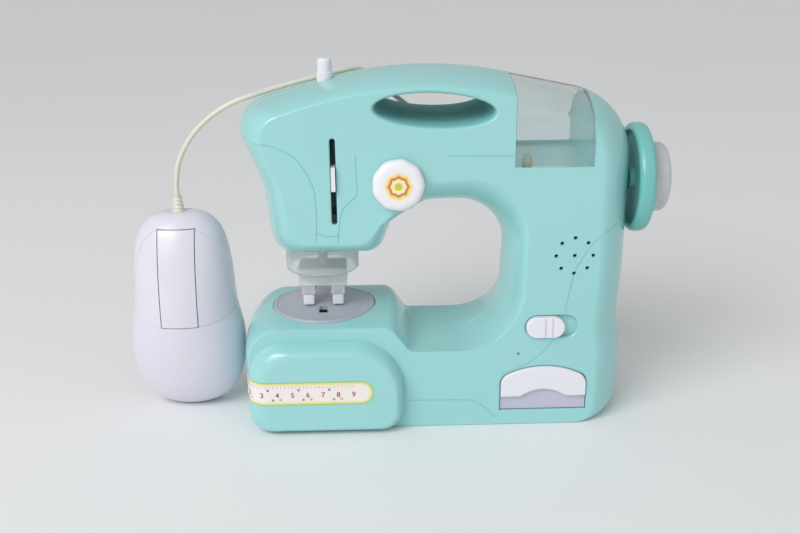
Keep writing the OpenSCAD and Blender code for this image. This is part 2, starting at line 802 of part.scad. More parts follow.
module main_gear() color("#f0efe9") translate([gear_x, 0, shaft_z]) rotate([-90, 0, 0])
    spur(gear_teeth, gear_w, shaft_r);

module motor_pinion() color("#d9b25a") translate([gear_x - 0.5, 0, motor_z])
    rotate([90 + (pinion_teeth % 2 == 0 ? 180 / pinion_teeth : 0), 0, 0])
        spur(pinion_teeth, gear_w + 1, motor_shaft_r);

module motor_shaft() color(steel)
    rod_x(gear_x - 1, motor_x + motor_l - 3, motor_shaft_r, 0, motor_z);

module crank_disc() color("#f0efe9") difference() {
    union() {
        rod_x(crank_x, crank_x + crank_t, crank_r, 0, shaft_z);
        rod_x(crank_x - crank_pin_l, crank_x + 0.1, crank_pin_r, 0, shaft_z - crank_throw);
    }
    rod_x(crank_x, crank_x + crank_t + 1, shaft_r, 0, shaft_z);
}

module hand_wheel() color(deep_teal) translate([wheel_x, 0, shaft_z]) rotate([0, 90, 0])
    rotate_extrude($fn = 96) difference() {
        polygon([[shaft_r, 0], [wheel_r - 3, 0], [wheel_r - 0.8, 1], [wheel_r, 3], [wheel_r, wheel_t - 3],
            [wheel_r - 0.8, wheel_t - 1], [wheel_r - 3, wheel_t], [shaft_r, wheel_t]]);
        translate([shaft_r + 4, -1]) square([wheel_r - shaft_r - 8, wheel_t - 2]);
    }

module wheel_knob() color(white) translate([wheel_x + wheel_t, 0, shaft_z]) rotate([0, 90, 0])
    rotate_extrude($fn = 96) polygon([[0, 0], [knob_r - 1, 0], [knob_r, 1], [knob_r - 0.5, knob_l - 3],
        [knob_r - 3, knob_l - 0.6], [knob_r - 6, knob_l], [0, knob_l]]);

module needle_bar() color(white)
    rod_z(bar_bottom, bar_top, bar_r, needle_x);

module needle_yoke() color(white) difference() {
    union() {
        box([yoke_x - yoke_t, -crank_throw - 4, yoke_z - 5], [yoke_x, crank_throw + 4, yoke_z + 5]);
        rod_z(yoke_z - 5, yoke_z + 5, bar_r + 2.5, needle_x);
    }
    crosswise(yoke_x - yoke_t + 1, yoke_x + 1) translate([0, yoke_z])
        stadium(2 * (crank_throw + crank_pin_r) + 1, 2 * crank_pin_r + 0.6);
    rod_z(0, big, bar_r, needle_x);
}

module take_up_arm() color(white) difference() {
    union() {
        rod_z(tab_z - clamp_h / 2, tab_z + clamp_h / 2, bar_r + 2.5, needle_x);
        translate([0, 0, tab_z - 3]) linear_extrude(6) polygon([[needle_x - 1.5, 0], [needle_x + 5.5, 0],
            [needle_x + 5.5, -14], [slot_x + slot_w / 2 - slide_gap, face_y + 8],
            [slot_x + slot_w / 2 - slide_gap, face_y + 4], [slot_x - slot_w / 2 + slide_gap, face_y + 4],
            [slot_x - slot_w / 2 + slide_gap, face_y + 8], [needle_x - 1.5, -14]]);
        box([slot_x - slot_w / 2 + slide_gap, face_y - 2.5, tab_z - tab_h / 2],
            [slot_x + slot_w / 2 - slide_gap, face_y + 6, tab_z + tab_h / 2]);
    }
    rod_z(0, big, bar_r, needle_x);
}

module needle_foot() color(clear) difference() {
    union() {
        box([needle_x - foot_w / 2, -foot_d / 2, leg_low + 6], [needle_x + foot_w / 2, foot_d / 2, foot_top]);
        for (s = [-1, 1])
            translate([needle_x + s * (foot_w / 2 - leg_inset), 0, leg_low])
                box([-leg_w / 2, -foot_d / 2 + 3, 0], [leg_w / 2, foot_d / 2 - 3, 7]);
    }
    for (s = [0, 1])
        translate([needle_x, 0, 0]) mirror([s, 0, 0])
            box([foot_rib, -foot_d / 2 + foot_wall, leg_low + 8],
                [foot_w / 2 - foot_wall, foot_d / 2 - foot_wall, foot_top - 5]);
    rod_z(bar_bottom, foot_top + 1, bar_r, needle_x);
    rod_z(leg_low, foot_top, needle_r, needle_x);
}

module foot_toes() color(white)
    for (s = [-1, 1])
        translate([needle_x + s * (foot_w / 2 - leg_inset), 0, 0])
            box([-toe_w / 2, -foot_d / 2 + 4, foot_base], [toe_w / 2, foot_d / 2 - 4, leg_low]);

module needle() color(steel) {
    rod_z(leg_low + 4, bar_bottom, needle_r, needle_x);
    translate([needle_x, 0, leg_low + 4]) sphere(needle_r);
}

module dial() color(white) translate([dial_x, face_y - dial_gap, dial_z]) rotate([90, 0, 0])
    rotate_extrude($fn = 72) polygon([[0, 1], [dial_pin_r, 1], [dial_pin_r, 0], [dial_r - 1.5, 0],
        [dial_r, 1.5], [dial_r, dial_t - 3], [dial_r - 0.8, dial_t - 1.2], [dial_r - 2.6, dial_t - 0.2],
        [dial_r - 5, dial_t], [0, dial_t]]);

module dial_pin() color(white) {
    rod_y(face_y - dial_gap - 1, inside_y + 2.5, dial_pin_r, dial_x, dial_z);
    rod_y(inside_y + dial_gap, inside_y + 2.5, dial_pin_r + 2, dial_x, dial_z);
}

module switch_button() color(white) difference() {
    union() {
        upright(face_y - button_out, face_y + switch_depth - 0.3)
            translate([button_x, switch_z]) stadium(button_l, button_h);
        upright(face_y + switch_depth - 1, inside_y + switch_depth - 0.3)
            translate([switch_x - switch_travel / 2, switch_z]) square([stem_w, stem_h], center = true);
    }
    for (x = [button_x, button_x + 4])
        box([x - 0.5, face_y - button_out - 1, switch_z - big],
            [x + 0.5, face_y - button_out + 0.9, switch_z + big]);
}

module drawer() color(white) {
    back = face_y + drawer_d;
    half = drawer_w / 2 - slide_gap;
    inner = drawer_z + drawer_side_h;
    difference() {
        upright(face_y - 1, face_y + 4) drawer_shape();
        upright(face_y - 2, face_y + 1.5) translate([drawer_x, drawer_z]) difference() {
            union() {
                translate([-drawer_w, -1]) square([2 * drawer_w, 9]);
                translate([0, -7.5]) circle(20);
            }
            translate([-drawer_w, -30]) square([2 * drawer_w, 30]);
        }
    }
    difference() {
        box([drawer_x - half, face_y + 3.9, drawer_z], [drawer_x + half, back, inner]);
        box([drawer_x - half + drawer_wall, face_y + 3, drawer_z + drawer_wall],
            [drawer_x + half - drawer_wall, back - drawer_wall, inner + 1]);
    }
    for (s = [0, 1])
        translate([drawer_x, inside_y + plate_recess + drawer_travel + slide_gap, drawer_z + 4])
            mirror([s, 0, 0]) box([half - drawer_wall, 0, 0], [half + catch_out, catch_t, 6]);
}

// One ring of the pedal, a flat underside with a domed top
function pedal_ring(station, inset) =
    let (w = station[1] * pedal_half_w - inset,
        rise = station[2] * pedal_t - inset - pedal_floor,
        z = inset + station[0] * (pedal_l - 2 * inset),
        dome = [for (k = [0 : pedal_sides])
            let (a = 180 * k / pedal_sides)
            [-w * cos(a), rise * sin(a)]])
    concat([[pedal_x - w, pedal_y - inset, z]],
        [for (p = dome) [pedal_x + p[0], pedal_y - pedal_floor - p[1], z]],
        [[pedal_x + w, pedal_y - inset, z]]);

module pedal_solid(inset = 0) {
    ring_loft([for (s = pedal_stations) pedal_ring(s, inset)]);
}

module pedal_skin() {
    difference() {
        pedal_solid();
        pedal_solid(wall);
        box([-big, pedal_y - pedal_floor, -1], [big, pedal_y + 1, pedal_l + 1]);
    }
}

module key_block(gap) {
    box([pedal_x - key_w / 2 + gap, -big, key_z + gap],
        [pedal_x + key_w / 2 - gap, pedal_y - 8, key_top - gap]);
}

module pedal_base() color(white) intersection() {
    pedal_solid();
    box([-big, pedal_y - pedal_floor, -1], [big, pedal_y + 1, pedal_l + 1]);
}

module pedal_top() color(white) difference() {
    union() {
        difference() {
            pedal_skin();
            key_block(0);
        }
        intersection() {
            pedal_solid(wall / 2);
            for (s = [-1, 1])
                box([pedal_x + s * (key_w / 2 + 2) - 1, -big, key_pivot_z - 3],
                    [pedal_x + s * (key_w / 2 + 2) + 1, pedal_y - pedal_floor, key_pivot_z + 3]);
        }
    }
    rod_x(pedal_x - key_w, pedal_x + key_w, key_pin_r, key_pivot_y, key_pivot_z);
}

module pedal_pads() color("#55585c")
    for (s = [-1, 1]) for (z = [0.25, 0.78])
        rod_y(pedal_y, pedal_y + 1.5, 5, pedal_x + s * pedal_half_w * 0.5, pedal_l * z);

module pedal_switch() color("#2b2d30") {
    floor_y = pedal_y - pedal_floor;
    sweep = (plunger_z - key_pivot_z) * tan(key_angle);
    tip = pedal_y - 0.84 * pedal_t + wall + sweep + plunger_gap;
    box([pedal_x - 6, tip + 4, plunger_z - 5], [pedal_x + 6, floor_y, plunger_z + 5]);
    rod_y(tip, tip + 4.1, 1.5, pedal_x, plunger_z);
}

module key_pin() color(steel)
    rod_x(pedal_x - key_w / 2 - 3, pedal_x + key_w / 2 + 3, key_pin_r, key_pivot_y, key_pivot_z);

module pedal_key() color(white) difference() {
    union() {
        intersection() {
            pedal_skin();
            key_block(key_gap);
        }
        intersection() {
            pedal_solid(wall / 2);
            for (s = [-1, 1])
                box([pedal_x + s * (key_w / 2 - 3) - 1.2, -big, key_pivot_z - 2.2],
                    [pedal_x + s * (key_w / 2 - 3) + 1.2, key_pivot_y + 2.2, key_pivot_z + 2.2]);
        }
    }
    rod_x(pedal_x - key_w, pedal_x + key_w, key_pin_r + run_gap, key_pivot_y, key_pivot_z);
}

module strain_relief() color("#e9e6da")
    translate([pedal_x, relief_y, pedal_l]) cylinder(h = relief_l, r1 = 3.6, r2 = 2.4);

// Points of a smooth curve through the route
function cord_at(i) = cord_points[max(0, min(len(cord_points) - 1, i))];
function cord_curve() = concat(
    [for (i = [0 : len(cord_points) - 2]) for (k = [0 : cord_steps - 1])
        let (t = k / cord_steps,
            a = cord_at(i - 1), b = cord_at(i), c = cord_at(i + 1), d = cord_at(i + 2),
            square_part = (2 * a - 5 * b + 4 * c - d) / 2,
            cube_part = (3 * b - a - 3 * c + d) / 2)
        b + t * (c - a) / 2 + t * t * square_part + t * t * t * cube_part],
    [cord_at(len(cord_points))]);

module pedal_cord() color("#e9e6da") {
    path = cord_curve();
    n = len(path);
    rings = [for (i = [0 : n - 1])
        let (ahead = unit(path[min(n - 1, i + 1)] - path[max(0, i - 1)]),
            u = unit(cross(ahead, [-0.3, 1, 0.2])),
            v = cross(ahead, u))
        [for (k = [0 : 7]) path[i] + cord_d / 2 * (cos(k * 45) * u + sin(k * 45) * v)]];
    ring_loft(rings);
}

front_shell();
rear_shell();
window_cover();
light_chamber();
lamp();
needle_plate();
needle_guard();
spool_pin();
speaker();
circuit_board();
battery_box();
battery_cells();
battery_door();
door_screw();
motor();
housing_screws();
switch_body();
cord_gland();
main_shaft();
main_gear();
crank_disc();
hand_wheel();
wheel_knob();
motor_shaft();
motor_pinion();
needle_bar();
needle_yoke();
take_up_arm();
needle_foot();
foot_toes();
needle();
dial();
dial_pin();
switch_button();
drawer();
pedal_base();
pedal_top();
pedal_pads();
pedal_switch();
key_pin();
pedal_key();
strain_relief();
pedal_cord();
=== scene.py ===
from math import asin, atan2, cos, hypot, pi, radians, sin, sqrt, tan

import bmesh
import bpy
from mathutils import Matrix, Vector
from mathutils.bvhtree import BVHTree


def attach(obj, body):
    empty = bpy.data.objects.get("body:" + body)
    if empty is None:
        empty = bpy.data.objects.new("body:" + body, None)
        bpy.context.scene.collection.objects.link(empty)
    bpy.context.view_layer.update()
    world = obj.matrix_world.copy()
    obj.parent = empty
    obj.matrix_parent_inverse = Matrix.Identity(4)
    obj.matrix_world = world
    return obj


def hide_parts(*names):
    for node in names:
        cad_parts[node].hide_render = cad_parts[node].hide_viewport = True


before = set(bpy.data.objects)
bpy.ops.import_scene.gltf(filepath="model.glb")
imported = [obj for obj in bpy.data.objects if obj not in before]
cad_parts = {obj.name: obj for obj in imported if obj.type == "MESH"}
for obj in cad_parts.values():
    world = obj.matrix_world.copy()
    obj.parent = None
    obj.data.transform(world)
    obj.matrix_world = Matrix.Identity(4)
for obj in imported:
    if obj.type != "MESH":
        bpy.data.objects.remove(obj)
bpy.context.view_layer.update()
scene = bpy.context.scene
scene.view_settings.view_transform = "Standard"
mm = 0.001


def addObject(name, data):
    holder = bpy.data.objects.new(name, data)
    scene.collection.objects.link(holder)
    return holder


# Camera at the photo's viewing angle
cameraView = {
    "place": (-33.7, -559.2, 278.3),   # mm
    "yaw": 1.5, "pitch": 19.04, "roll": -0.57,   # degrees
    "focal": 1011.5, "imageWide": 800,   # pixels
    "sensor": 36,   # mm
    "far": 60,   # m
}


def placeCamera(view):
    lens = bpy.data.cameras.new("photoCamera")
    lens.sensor_width = view["sensor"]
    lens.lens = view["focal"] / view["imageWide"] * view["sensor"]
    lens.clip_end = view["far"]
    scene.camera = addObject("photoCamera", lens)
    facing = Matrix.Translation(Vector(view["place"]) * mm)
    for axis, angle in (("Z", -view["yaw"]), ("X", 90 - view["pitch"]), ("Z", view["roll"])):
        facing = facing @ Matrix.Rotation(radians(angle), 4, axis)
    scene.camera.matrix_world = facing


placeCamera(cameraView)
print("camera placed")


# Materials
def fromHex(code):
    parts = [int(code[i:i + 2], 16) / 255 for i in (1, 3, 5)]
    return (*[c / 12.92 if c <= 0.04045 else ((c + 0.055) / 1.055) ** 2.4 for c in parts], 1.0)


def addNode(tree, kind, sockets=None, **settings):
    node = tree.nodes.new(kind)
    for key, value in settings.items():
        setattr(node, key, value)
    for key, value in (sockets or {}).items():
        if isinstance(value, bpy.types.NodeSocket):
            tree.links.new(value, node.inputs[key])
        else:
            node.inputs[key].default_value = value
    return node.outputs


def startMaterial(name):
    material = bpy.data.materials.new(name)
    material.use_nodes = True
    tree = material.node_tree
    tree.nodes.clear()
    return material, tree, addNode(tree, "ShaderNodeTexCoord")["Object"]


def endMaterial(tree, sockets):
    shader = addNode(tree, "ShaderNodeBsdfPrincipled", sockets)
    addNode(tree, "ShaderNodeOutputMaterial", {"Surface": shader["BSDF"]})


def noise(tree, place, scale, detail=2.0):
    return addNode(tree, "ShaderNodeTexNoise", {"Vector": place, "Scale": scale, "Detail": detail})["Fac"]


def mixTint(tree, share, light, deep):
    sockets = {0: share, 6: fromHex(light), 7: fromHex(deep)}
    return addNode(tree, "ShaderNodeMix", sockets, data_type="RGBA")[2]


# A moulded or coated surface: two close tints that drift across the piece, a gloss that varies a little
# and a fine relief. Flow and grain are sizes in mm.
def surface(name, light, deep, flow, rough, grain=0.4, relief=0.05, ior=1.5, metallic=0.0, clear=0.0,
            shine=0.5, coat=0.0):
    material, tree, place = startMaterial(name)
    tint = mixTint(tree, noise(tree, place, 1000 / flow), light, deep)
    fine = noise(tree, place, 1000 / grain, 3.0)
    gloss = addNode(tree, "ShaderNodeMapRange", {"Value": fine, "From Min": 0.3, "From Max": 0.7,
                                                 "To Min": rough[0], "To Max": rough[1]})
    bump = addNode(tree, "ShaderNodeBump", {"Height": fine, "Strength": relief, "Distance": 0.0002})
    sockets = {"Base Color": tint, "Roughness": gloss["Result"], "Normal": bump["Normal"],
               "Metallic": metallic, "Transmission Weight": clear, "Specular IOR Level": shine,
               "Coat Weight": coat, "Coat Roughness": 0.03}
    if not metallic:
        sockets["IOR"] = ior
    endMaterial(tree, sockets)
    return material


# Glossy moulded ABS, pale turquoise: an even, slightly milky body with crisp soft-box glints
turquoiseAbs = surface("turquoiseAbsMoulded", "#a3dbdb", "#9ad4d4", flow=90, rough=(0.15, 0.19), relief=0.004,
                       ior=1.54)
# A matt copy of the ABS painted into the grip's wall and the wheel's hollow: its tint, a little darker than the body,
# is painted shade, and it has no sheen at a low angle, so it keeps its colour
recessShadeAbs = surface("turquoiseAbsRecessShade", "#8fd0cf", "#86c8c7", flow=60, rough=(0.5, 0.6), grain=0.3, relief=0.03,
                  ior=1.54, shine=0.08)
# The same ABS in a darker batch, for the wheel and the battery box
deepTealAbs = surface("deepTealAbsMoulded", "#7cc6c3", "#71bcb9", flow=40, rough=(0.16, 0.2), relief=0.004, ior=1.54)
# White ABS with a faint lilac cast, glossy
whiteAbs = surface("whiteAbsMoulded", "#efeef4", "#e8e7ef", flow=60, rough=(0.2, 0.25), relief=0.004, ior=1.53)
# Lilac-white ABS of the pedal, slightly greyer
pedalAbs = surface("lilacWhiteAbsMoulded", "#e6e3ee", "#dcd9e6", flow=60, rough=(0.2, 0.26), relief=0.004, ior=1.53)
# Clear polystyrene: sharp glints on its edges, nearly no colour
clearStyrene = surface("clearPolystyreneMoulded", "#f4fafa", "#ecf6f6", flow=50, rough=(0.02, 0.05), grain=6,
                       relief=0.0005, ior=1.12, clear=0.97, coat=1.0)
# Hazy polystyrene of the foot: grey-white and see-through, with soft inner light
hazyStyrene = surface("hazyPolystyreneMoulded", "#f8f9fa", "#f1f3f6", flow=20, rough=(0.14, 0.22), grain=2,
                      relief=0.01, ior=1.3, clear=0.4)
# White ABS painted lilac-grey in the drawer's finger scoop: painted shade of the recess, matt, no glint
scoopShadeAbs = surface("whiteAbsScoopShade", "#c9c8d6", "#bfbecd", flow=30, rough=(0.5, 0.6), grain=0.3, ior=1.53)
# Clear polystyrene of the collar, a little scuffed, so that it shows against the plate
collarStyrene = surface("scuffedPolystyreneMoulded", "#f0f5f6", "#e6eef0", flow=20, rough=(0.1, 0.2), grain=1,
                        relief=0.01, ior=1.3, clear=0.8)
# Frosted polystyrene: whitish, lets light through but no picture
frostedStyrene = surface("frostedPolystyreneMoulded", "#dde2ec", "#d1d7e3", flow=30, rough=(0.3, 0.42), grain=0.5,
                         relief=0.02, clear=0.35)
# Milky styrene of the knob, between white and clear
milkyStyrene = surface("milkyPolystyreneMoulded", "#dde0e5", "#d0d4da", flow=30, rough=(0.2, 0.28), grain=0.5,
                       relief=0.005, clear=0.2)
# Zinc-plated steel: bright, a little uneven
platedSteel = surface("zincPlatedSteel", "#c9ccd0", "#b3b7bd", flow=6, rough=(0.22, 0.36), grain=0.5, metallic=1.0)
# Turned brass of the pinion: warm yellow with a fine tool grain
turnedBrass = surface("turnedBrass", "#d8b25c", "#c39a45", flow=4, rough=(0.22, 0.34), grain=0.3, metallic=1.0)
# Natural nylon of the gear and crank: waxy off-white
naturalNylon = surface("naturalNylonMoulded", "#efece0", "#e5e1d2", flow=12, rough=(0.4, 0.52), grain=0.7,
                       relief=0.04, ior=1.53)
# Galvanised motor can: grey with a fine spangle
galvanisedCan = surface("galvanisedSteelCan", "#c4c8cb", "#a6abb0", flow=3, rough=(0.3, 0.45), metallic=1.0)
# Matt black moulding of switches and the speaker
blackAbs = surface("blackAbsMatt", "#26272a", "#1d1e20", flow=20, rough=(0.5, 0.65), grain=0.5, relief=0.1)
# Green lacquer of the circuit board, satin
boardLacquer = surface("lacqueredFibreBoard", "#2f7d4a", "#256a3c", flow=5, rough=(0.3, 0.45), grain=0.6, relief=0.06)
# Plain shrink jacket of the cells: dark grey, half glossy
cellJacket = surface("shrinkJacketDark", "#43474d", "#373b40", flow=15, rough=(0.25, 0.35), grain=0.8, relief=0.02)
# Warm clear epoxy of the lamp
lampEpoxy = surface("lampEpoxyClear", "#fff6dd", "#fdeec2", flow=4, rough=(0.05, 0.1), grain=1.0, relief=0.02,
                    clear=0.6)
# Grey rubber of the pedal's pads, dull
greyRubber = surface("greyRubberMoulded", "#5a5d61", "#4d5054", flow=8, rough=(0.65, 0.8), grain=0.5, relief=0.2)
# Soft PVC of the lead: warm off-white, satin, with a slight drawn grain
leadPvc = surface("softPvcExtruded", "#e8e4d6", "#ddd8c8", flow=14, rough=(0.38, 0.5), grain=0.8, relief=0.06,
                  ior=1.53)
print("materials made")


# Mesh helpers, sizes in mm
def makePiece(name, points, faces, material=turquoiseAbs):
    mesh = bpy.data.meshes.new(name)
    mesh.from_pydata([Vector(p) * mm for p in points], [], faces)
    mesh.materials.append(material)
    return addObject(name, mesh)


def fixFaces(piece, near=1e-6, thin=0):
    shape = bmesh.new()
    shape.from_mesh(piece.data)
    bmesh.ops.remove_doubles(shape, verts=shape.verts, dist=near)
    if thin:
        bmesh.ops.dissolve_degenerate(shape, edges=shape.edges, dist=thin)
    bmesh.ops.recalc_face_normals(shape, faces=shape.faces)
    shape.to_mesh(piece.data)
    shape.free()
    return piece


def bake(holder):
    return bpy.data.meshes.new_from_object(holder.evaluated_get(bpy.context.evaluated_depsgraph_get()))


def settle(piece):
    mesh, old = bake(piece), piece.data
    piece.modifiers.clear()
    piece.data = mesh
    if old.users == 0:
        bpy.data.meshes.remove(old)
    mesh.name = piece.name
    return piece


def modify(piece, kind, **settings):
    step = piece.modifiers.new(kind.capitalize(), kind)
    for key, value in settings.items():
        setattr(step, key, value)
    return settle(piece)


def smooth(piece, angle=32):
    piece.data.shade_smooth()
    piece.data.set_sharp_from_angle(angle=radians(angle))
    return modify(piece, "WEIGHTED_NORMAL", keep_sharp=True)


def rounded(piece, width, segments=3, angle=35):
    return modify(piece, "BEVEL", width=width * mm, segments=segments, limit_method="ANGLE",
                  angle_limit=radians(angle))


# Cuts or joins; the other piece first takes this piece's material, which its faces bring along
def combine(piece, how, others):
    for other in others:
        other.data.materials.clear()
        other.data.materials.append(piece.data.materials[0])
        modify(piece, "BOOLEAN", operation=how, solver="MANIFOLD", object=other)
        bpy.data.objects.remove(other)
    return piece


def join(piece, *others):
    return combine(piece, "UNION", others)


def cut(piece, *others):
    return combine(piece, "DIFFERENCE", others)


def keep(piece, other):
    return combine(piece, "INTERSECT", [other])


def loft(name, rings, material=turquoiseAbs):
    size = len(rings[0])
    points = [p for ring in rings for p in ring]
    faces = [list(range(size)), list(range((len(rings) - 1) * size, len(rings) * size))[::-1]]
    for j in range(len(rings) - 1):
        for i in range(size):
            a, b = j * size + i, j * size + (i + 1) % size
            faces.append((a, a + size, b + size, b))
    return fixFaces(makePiece(name, points, faces, material))


def turnPoint(axis, centre, r, angle, h):
    c, s = r * cos(angle), r * sin(angle)
    flat = {"x": (h, c, s), "y": (c, h, s), "z": (c, s, h)}[axis]
    return tuple(a + b for a, b in zip(centre, flat))


# A turned piece: profile rows are radius and height along the axis; a first radius of 0 closes the end.
# Points on the axis start as a tiny ring, which is then merged.
def turned(name, profile, axis, centre, steps=96, material=turquoiseAbs):
    closed = profile[0][0] > 0 and profile[-1][0] > 0
    points, faces = [], []
    for r, h in profile:
        points += [turnPoint(axis, centre, max(r, 1e-4), 2 * pi * k / steps, h) for k in range(steps)]
    for j in range(len(profile) if closed else len(profile) - 1):
        here, there = j * steps, (j + 1) % len(profile) * steps
        for k in range(steps):
            after = (k + 1) % steps
            faces.append((here + k, here + after, there + after, there + k))
    return fixFaces(makePiece(name, points, faces, material), 2e-6, 1e-7)


def rod(name, axis, centre, r, low, high, steps=48, material=turquoiseAbs):
    return turned(name, [(0, low), (r, low), (r, high), (0, high)], axis, centre, steps, material)


# A box from its low to its high corner; x moves it across
def block(name, low, high, material=turquoiseAbs, x=0):
    (x0, y0, z0), (x1, y1, z1) = low, high
    flat = [(x + x0, y0), (x + x1, y0), (x + x1, y1), (x + x0, y1)]
    faces = [(0, 3, 2, 1), (4, 5, 6, 7), (0, 1, 5, 4), (1, 2, 6, 5), (2, 3, 7, 6), (3, 0, 4, 7)]
    return makePiece(name, [(*p, z) for z in (z0, z1) for p in flat], faces, material)


# An outline in X and Z drawn out along Y; each row is a depth behind y and how much the outline grows there
def standing(name, outlineOf, rows, material=turquoiseAbs, y=0):
    return loft(name, [[(x, y + deep, z) for x, z in outlineOf(grow)] for deep, grow in rows], material)


def stadiumShape(x, z, length, height, upright=False, steps=14):
    def shape(grow):
        r, half = height / 2 + grow, (length - height) / 2
        points = []
        for side, start in ((1, -90), (-1, 90)):
            for k in range(steps + 1):
                a = radians(start + 180 * k / steps)
                points.append((side * half + r * cos(a), r * sin(a)))
        return [(x - q, z + p) if upright else (x + p, z + q) for p, q in points]
    return shape


# Gives another material to the faces that a test picks; the test takes middle and normal, in mm
def paint(piece, material, picks):
    piece.data.materials.append(material)
    for face in piece.data.polygons:
        if picks(face.center / mm, face.normal):
            face.material_index = len(piece.data.materials) - 1
    return piece


# Stands a mesh that lies in X and Y upright, at a place
def standUp(mesh, place):
    mesh.transform(Matrix.Translation(Vector(place) * mm) @ Matrix.Rotation(pi / 2, 4, "X"))


def dress(piece, body, slotName, *nodeNames):
    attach(piece, body)
    if nodeNames:
        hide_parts(*nodeNames)
    return piece


# Node trees: named inputs at the start, real geometry with a material at the end
def startTree(name, inputs):
    tree = bpy.data.node_groups.new(name, "GeometryNodeTree")
    for label, kind in inputs.items():
        tree.interface.new_socket(label, in_out="INPUT", socket_type="NodeSocket" + kind)
    tree.interface.new_socket("Geometry", in_out="OUTPUT", socket_type="NodeSocketGeometry")
    return tree, addNode(tree, "NodeGroupInput")


def endTree(tree, geometry, material):
    real = addNode(tree, "GeometryNodeRealizeInstances", {"Geometry": geometry})["Geometry"]
    painted = addNode(tree, "GeometryNodeSetMaterial", {"Geometry": real, "Material": material})
    addNode(tree, "NodeGroupOutput", {"Geometry": painted["Geometry"]})


def runTree(holder, tree, sizes):
    step = holder.modifiers.new(tree.name, "NODES")
    step.node_group = tree
    for item in tree.interface.items_tree:
        if item.in_out == "INPUT" and item.name in sizes:
            step[item.identifier] = sizes[item.name]


# The lead, along the same route as its solid
lead = {
    "diameter": 3.0,   # mm
    "length": 0.587,   # m
    "route": [
        (-146, 5, 129.05), (-146, 5, 136), (-143.5, 5, 149), (-136, 5, 162.5), (-125, 4.5, 173.5),
        (-113, 4.5, 181), (-102, 5.5, 185), (-92, 9, 187.6), (-80, 13, 190.5), (-68, 17, 193), (-57, 22, 195.1),
        (-48, 28, 196.1), (-42, 33.5, 195.8), (-37, 37.8, 193.5), (-31, 40, 188), (-20, 40.4, 178.5),
        (0, 40.4, 163.5), (20, 40.4, 152), (38, 40.4, 145.5), (50, 40.4, 143.9), (57, 40.6, 140.6),
        (58.5, 41, 131), (58.3, 43, 100), (57, 47, 60), (54, 52, 30), (48, 57, 12), (38, 61, 3.5),
        (24, 64, 1.8), (6, 68, 1.7), (-10, 74, 1.7), (-17, 83, 1.7), (-12, 92, 1.7), (4, 95, 1.7),
        (24, 91, 1.7), (42, 83, 1.8), (54, 72, 2.5), (59, 61, 5.5), (60, 51, 9), (60, 45, 10), (60, 41.05, 10)],
    "steps": 6,
}


def smoothRoute(points, steps):
    def at(i):
        return Vector(points[max(0, min(len(points) - 1, i))])
    path = []
    for i in range(len(points) - 1):
        a, b, c, d = at(i - 1), at(i), at(i + 1), at(i + 2)
        for k in range(steps):
            t = k / steps
            path.append(b + t * (c - a) / 2 + t * t * (2 * a - 5 * b + 4 * c - d) / 2
                        + t ** 3 * (3 * b - a - 3 * c + d) / 2)
    return path + [at(len(points))]


def polyLine(name, path):
    curve = bpy.data.curves.new(name, "CURVE")
    curve.dimensions = "3D"
    spline = curve.splines.new("POLY")
    spline.points.add(len(path) - 1)
    for point, place in zip(spline.points, path):
        point.co = (*(place * mm), 1)
    return curve


def makeLead(facts):
    path = smoothRoute(facts["route"], facts["steps"])
    curve = polyLine("pedalLead", path)
    curve.bevel_depth = facts["diameter"] / 2 * mm
    curve.bevel_resolution = 4
    curve.use_fill_caps = True
    curve.materials.append(leadPvc)
    piece = addObject("pedalLead", curve)
    dress(piece, "machine", "lead_jacket", "pedal_cord")
    print("lead", round(sum((b - a).length for a, b in zip(path, path[1:])) * mm, 4), "m")


makeLead(lead)


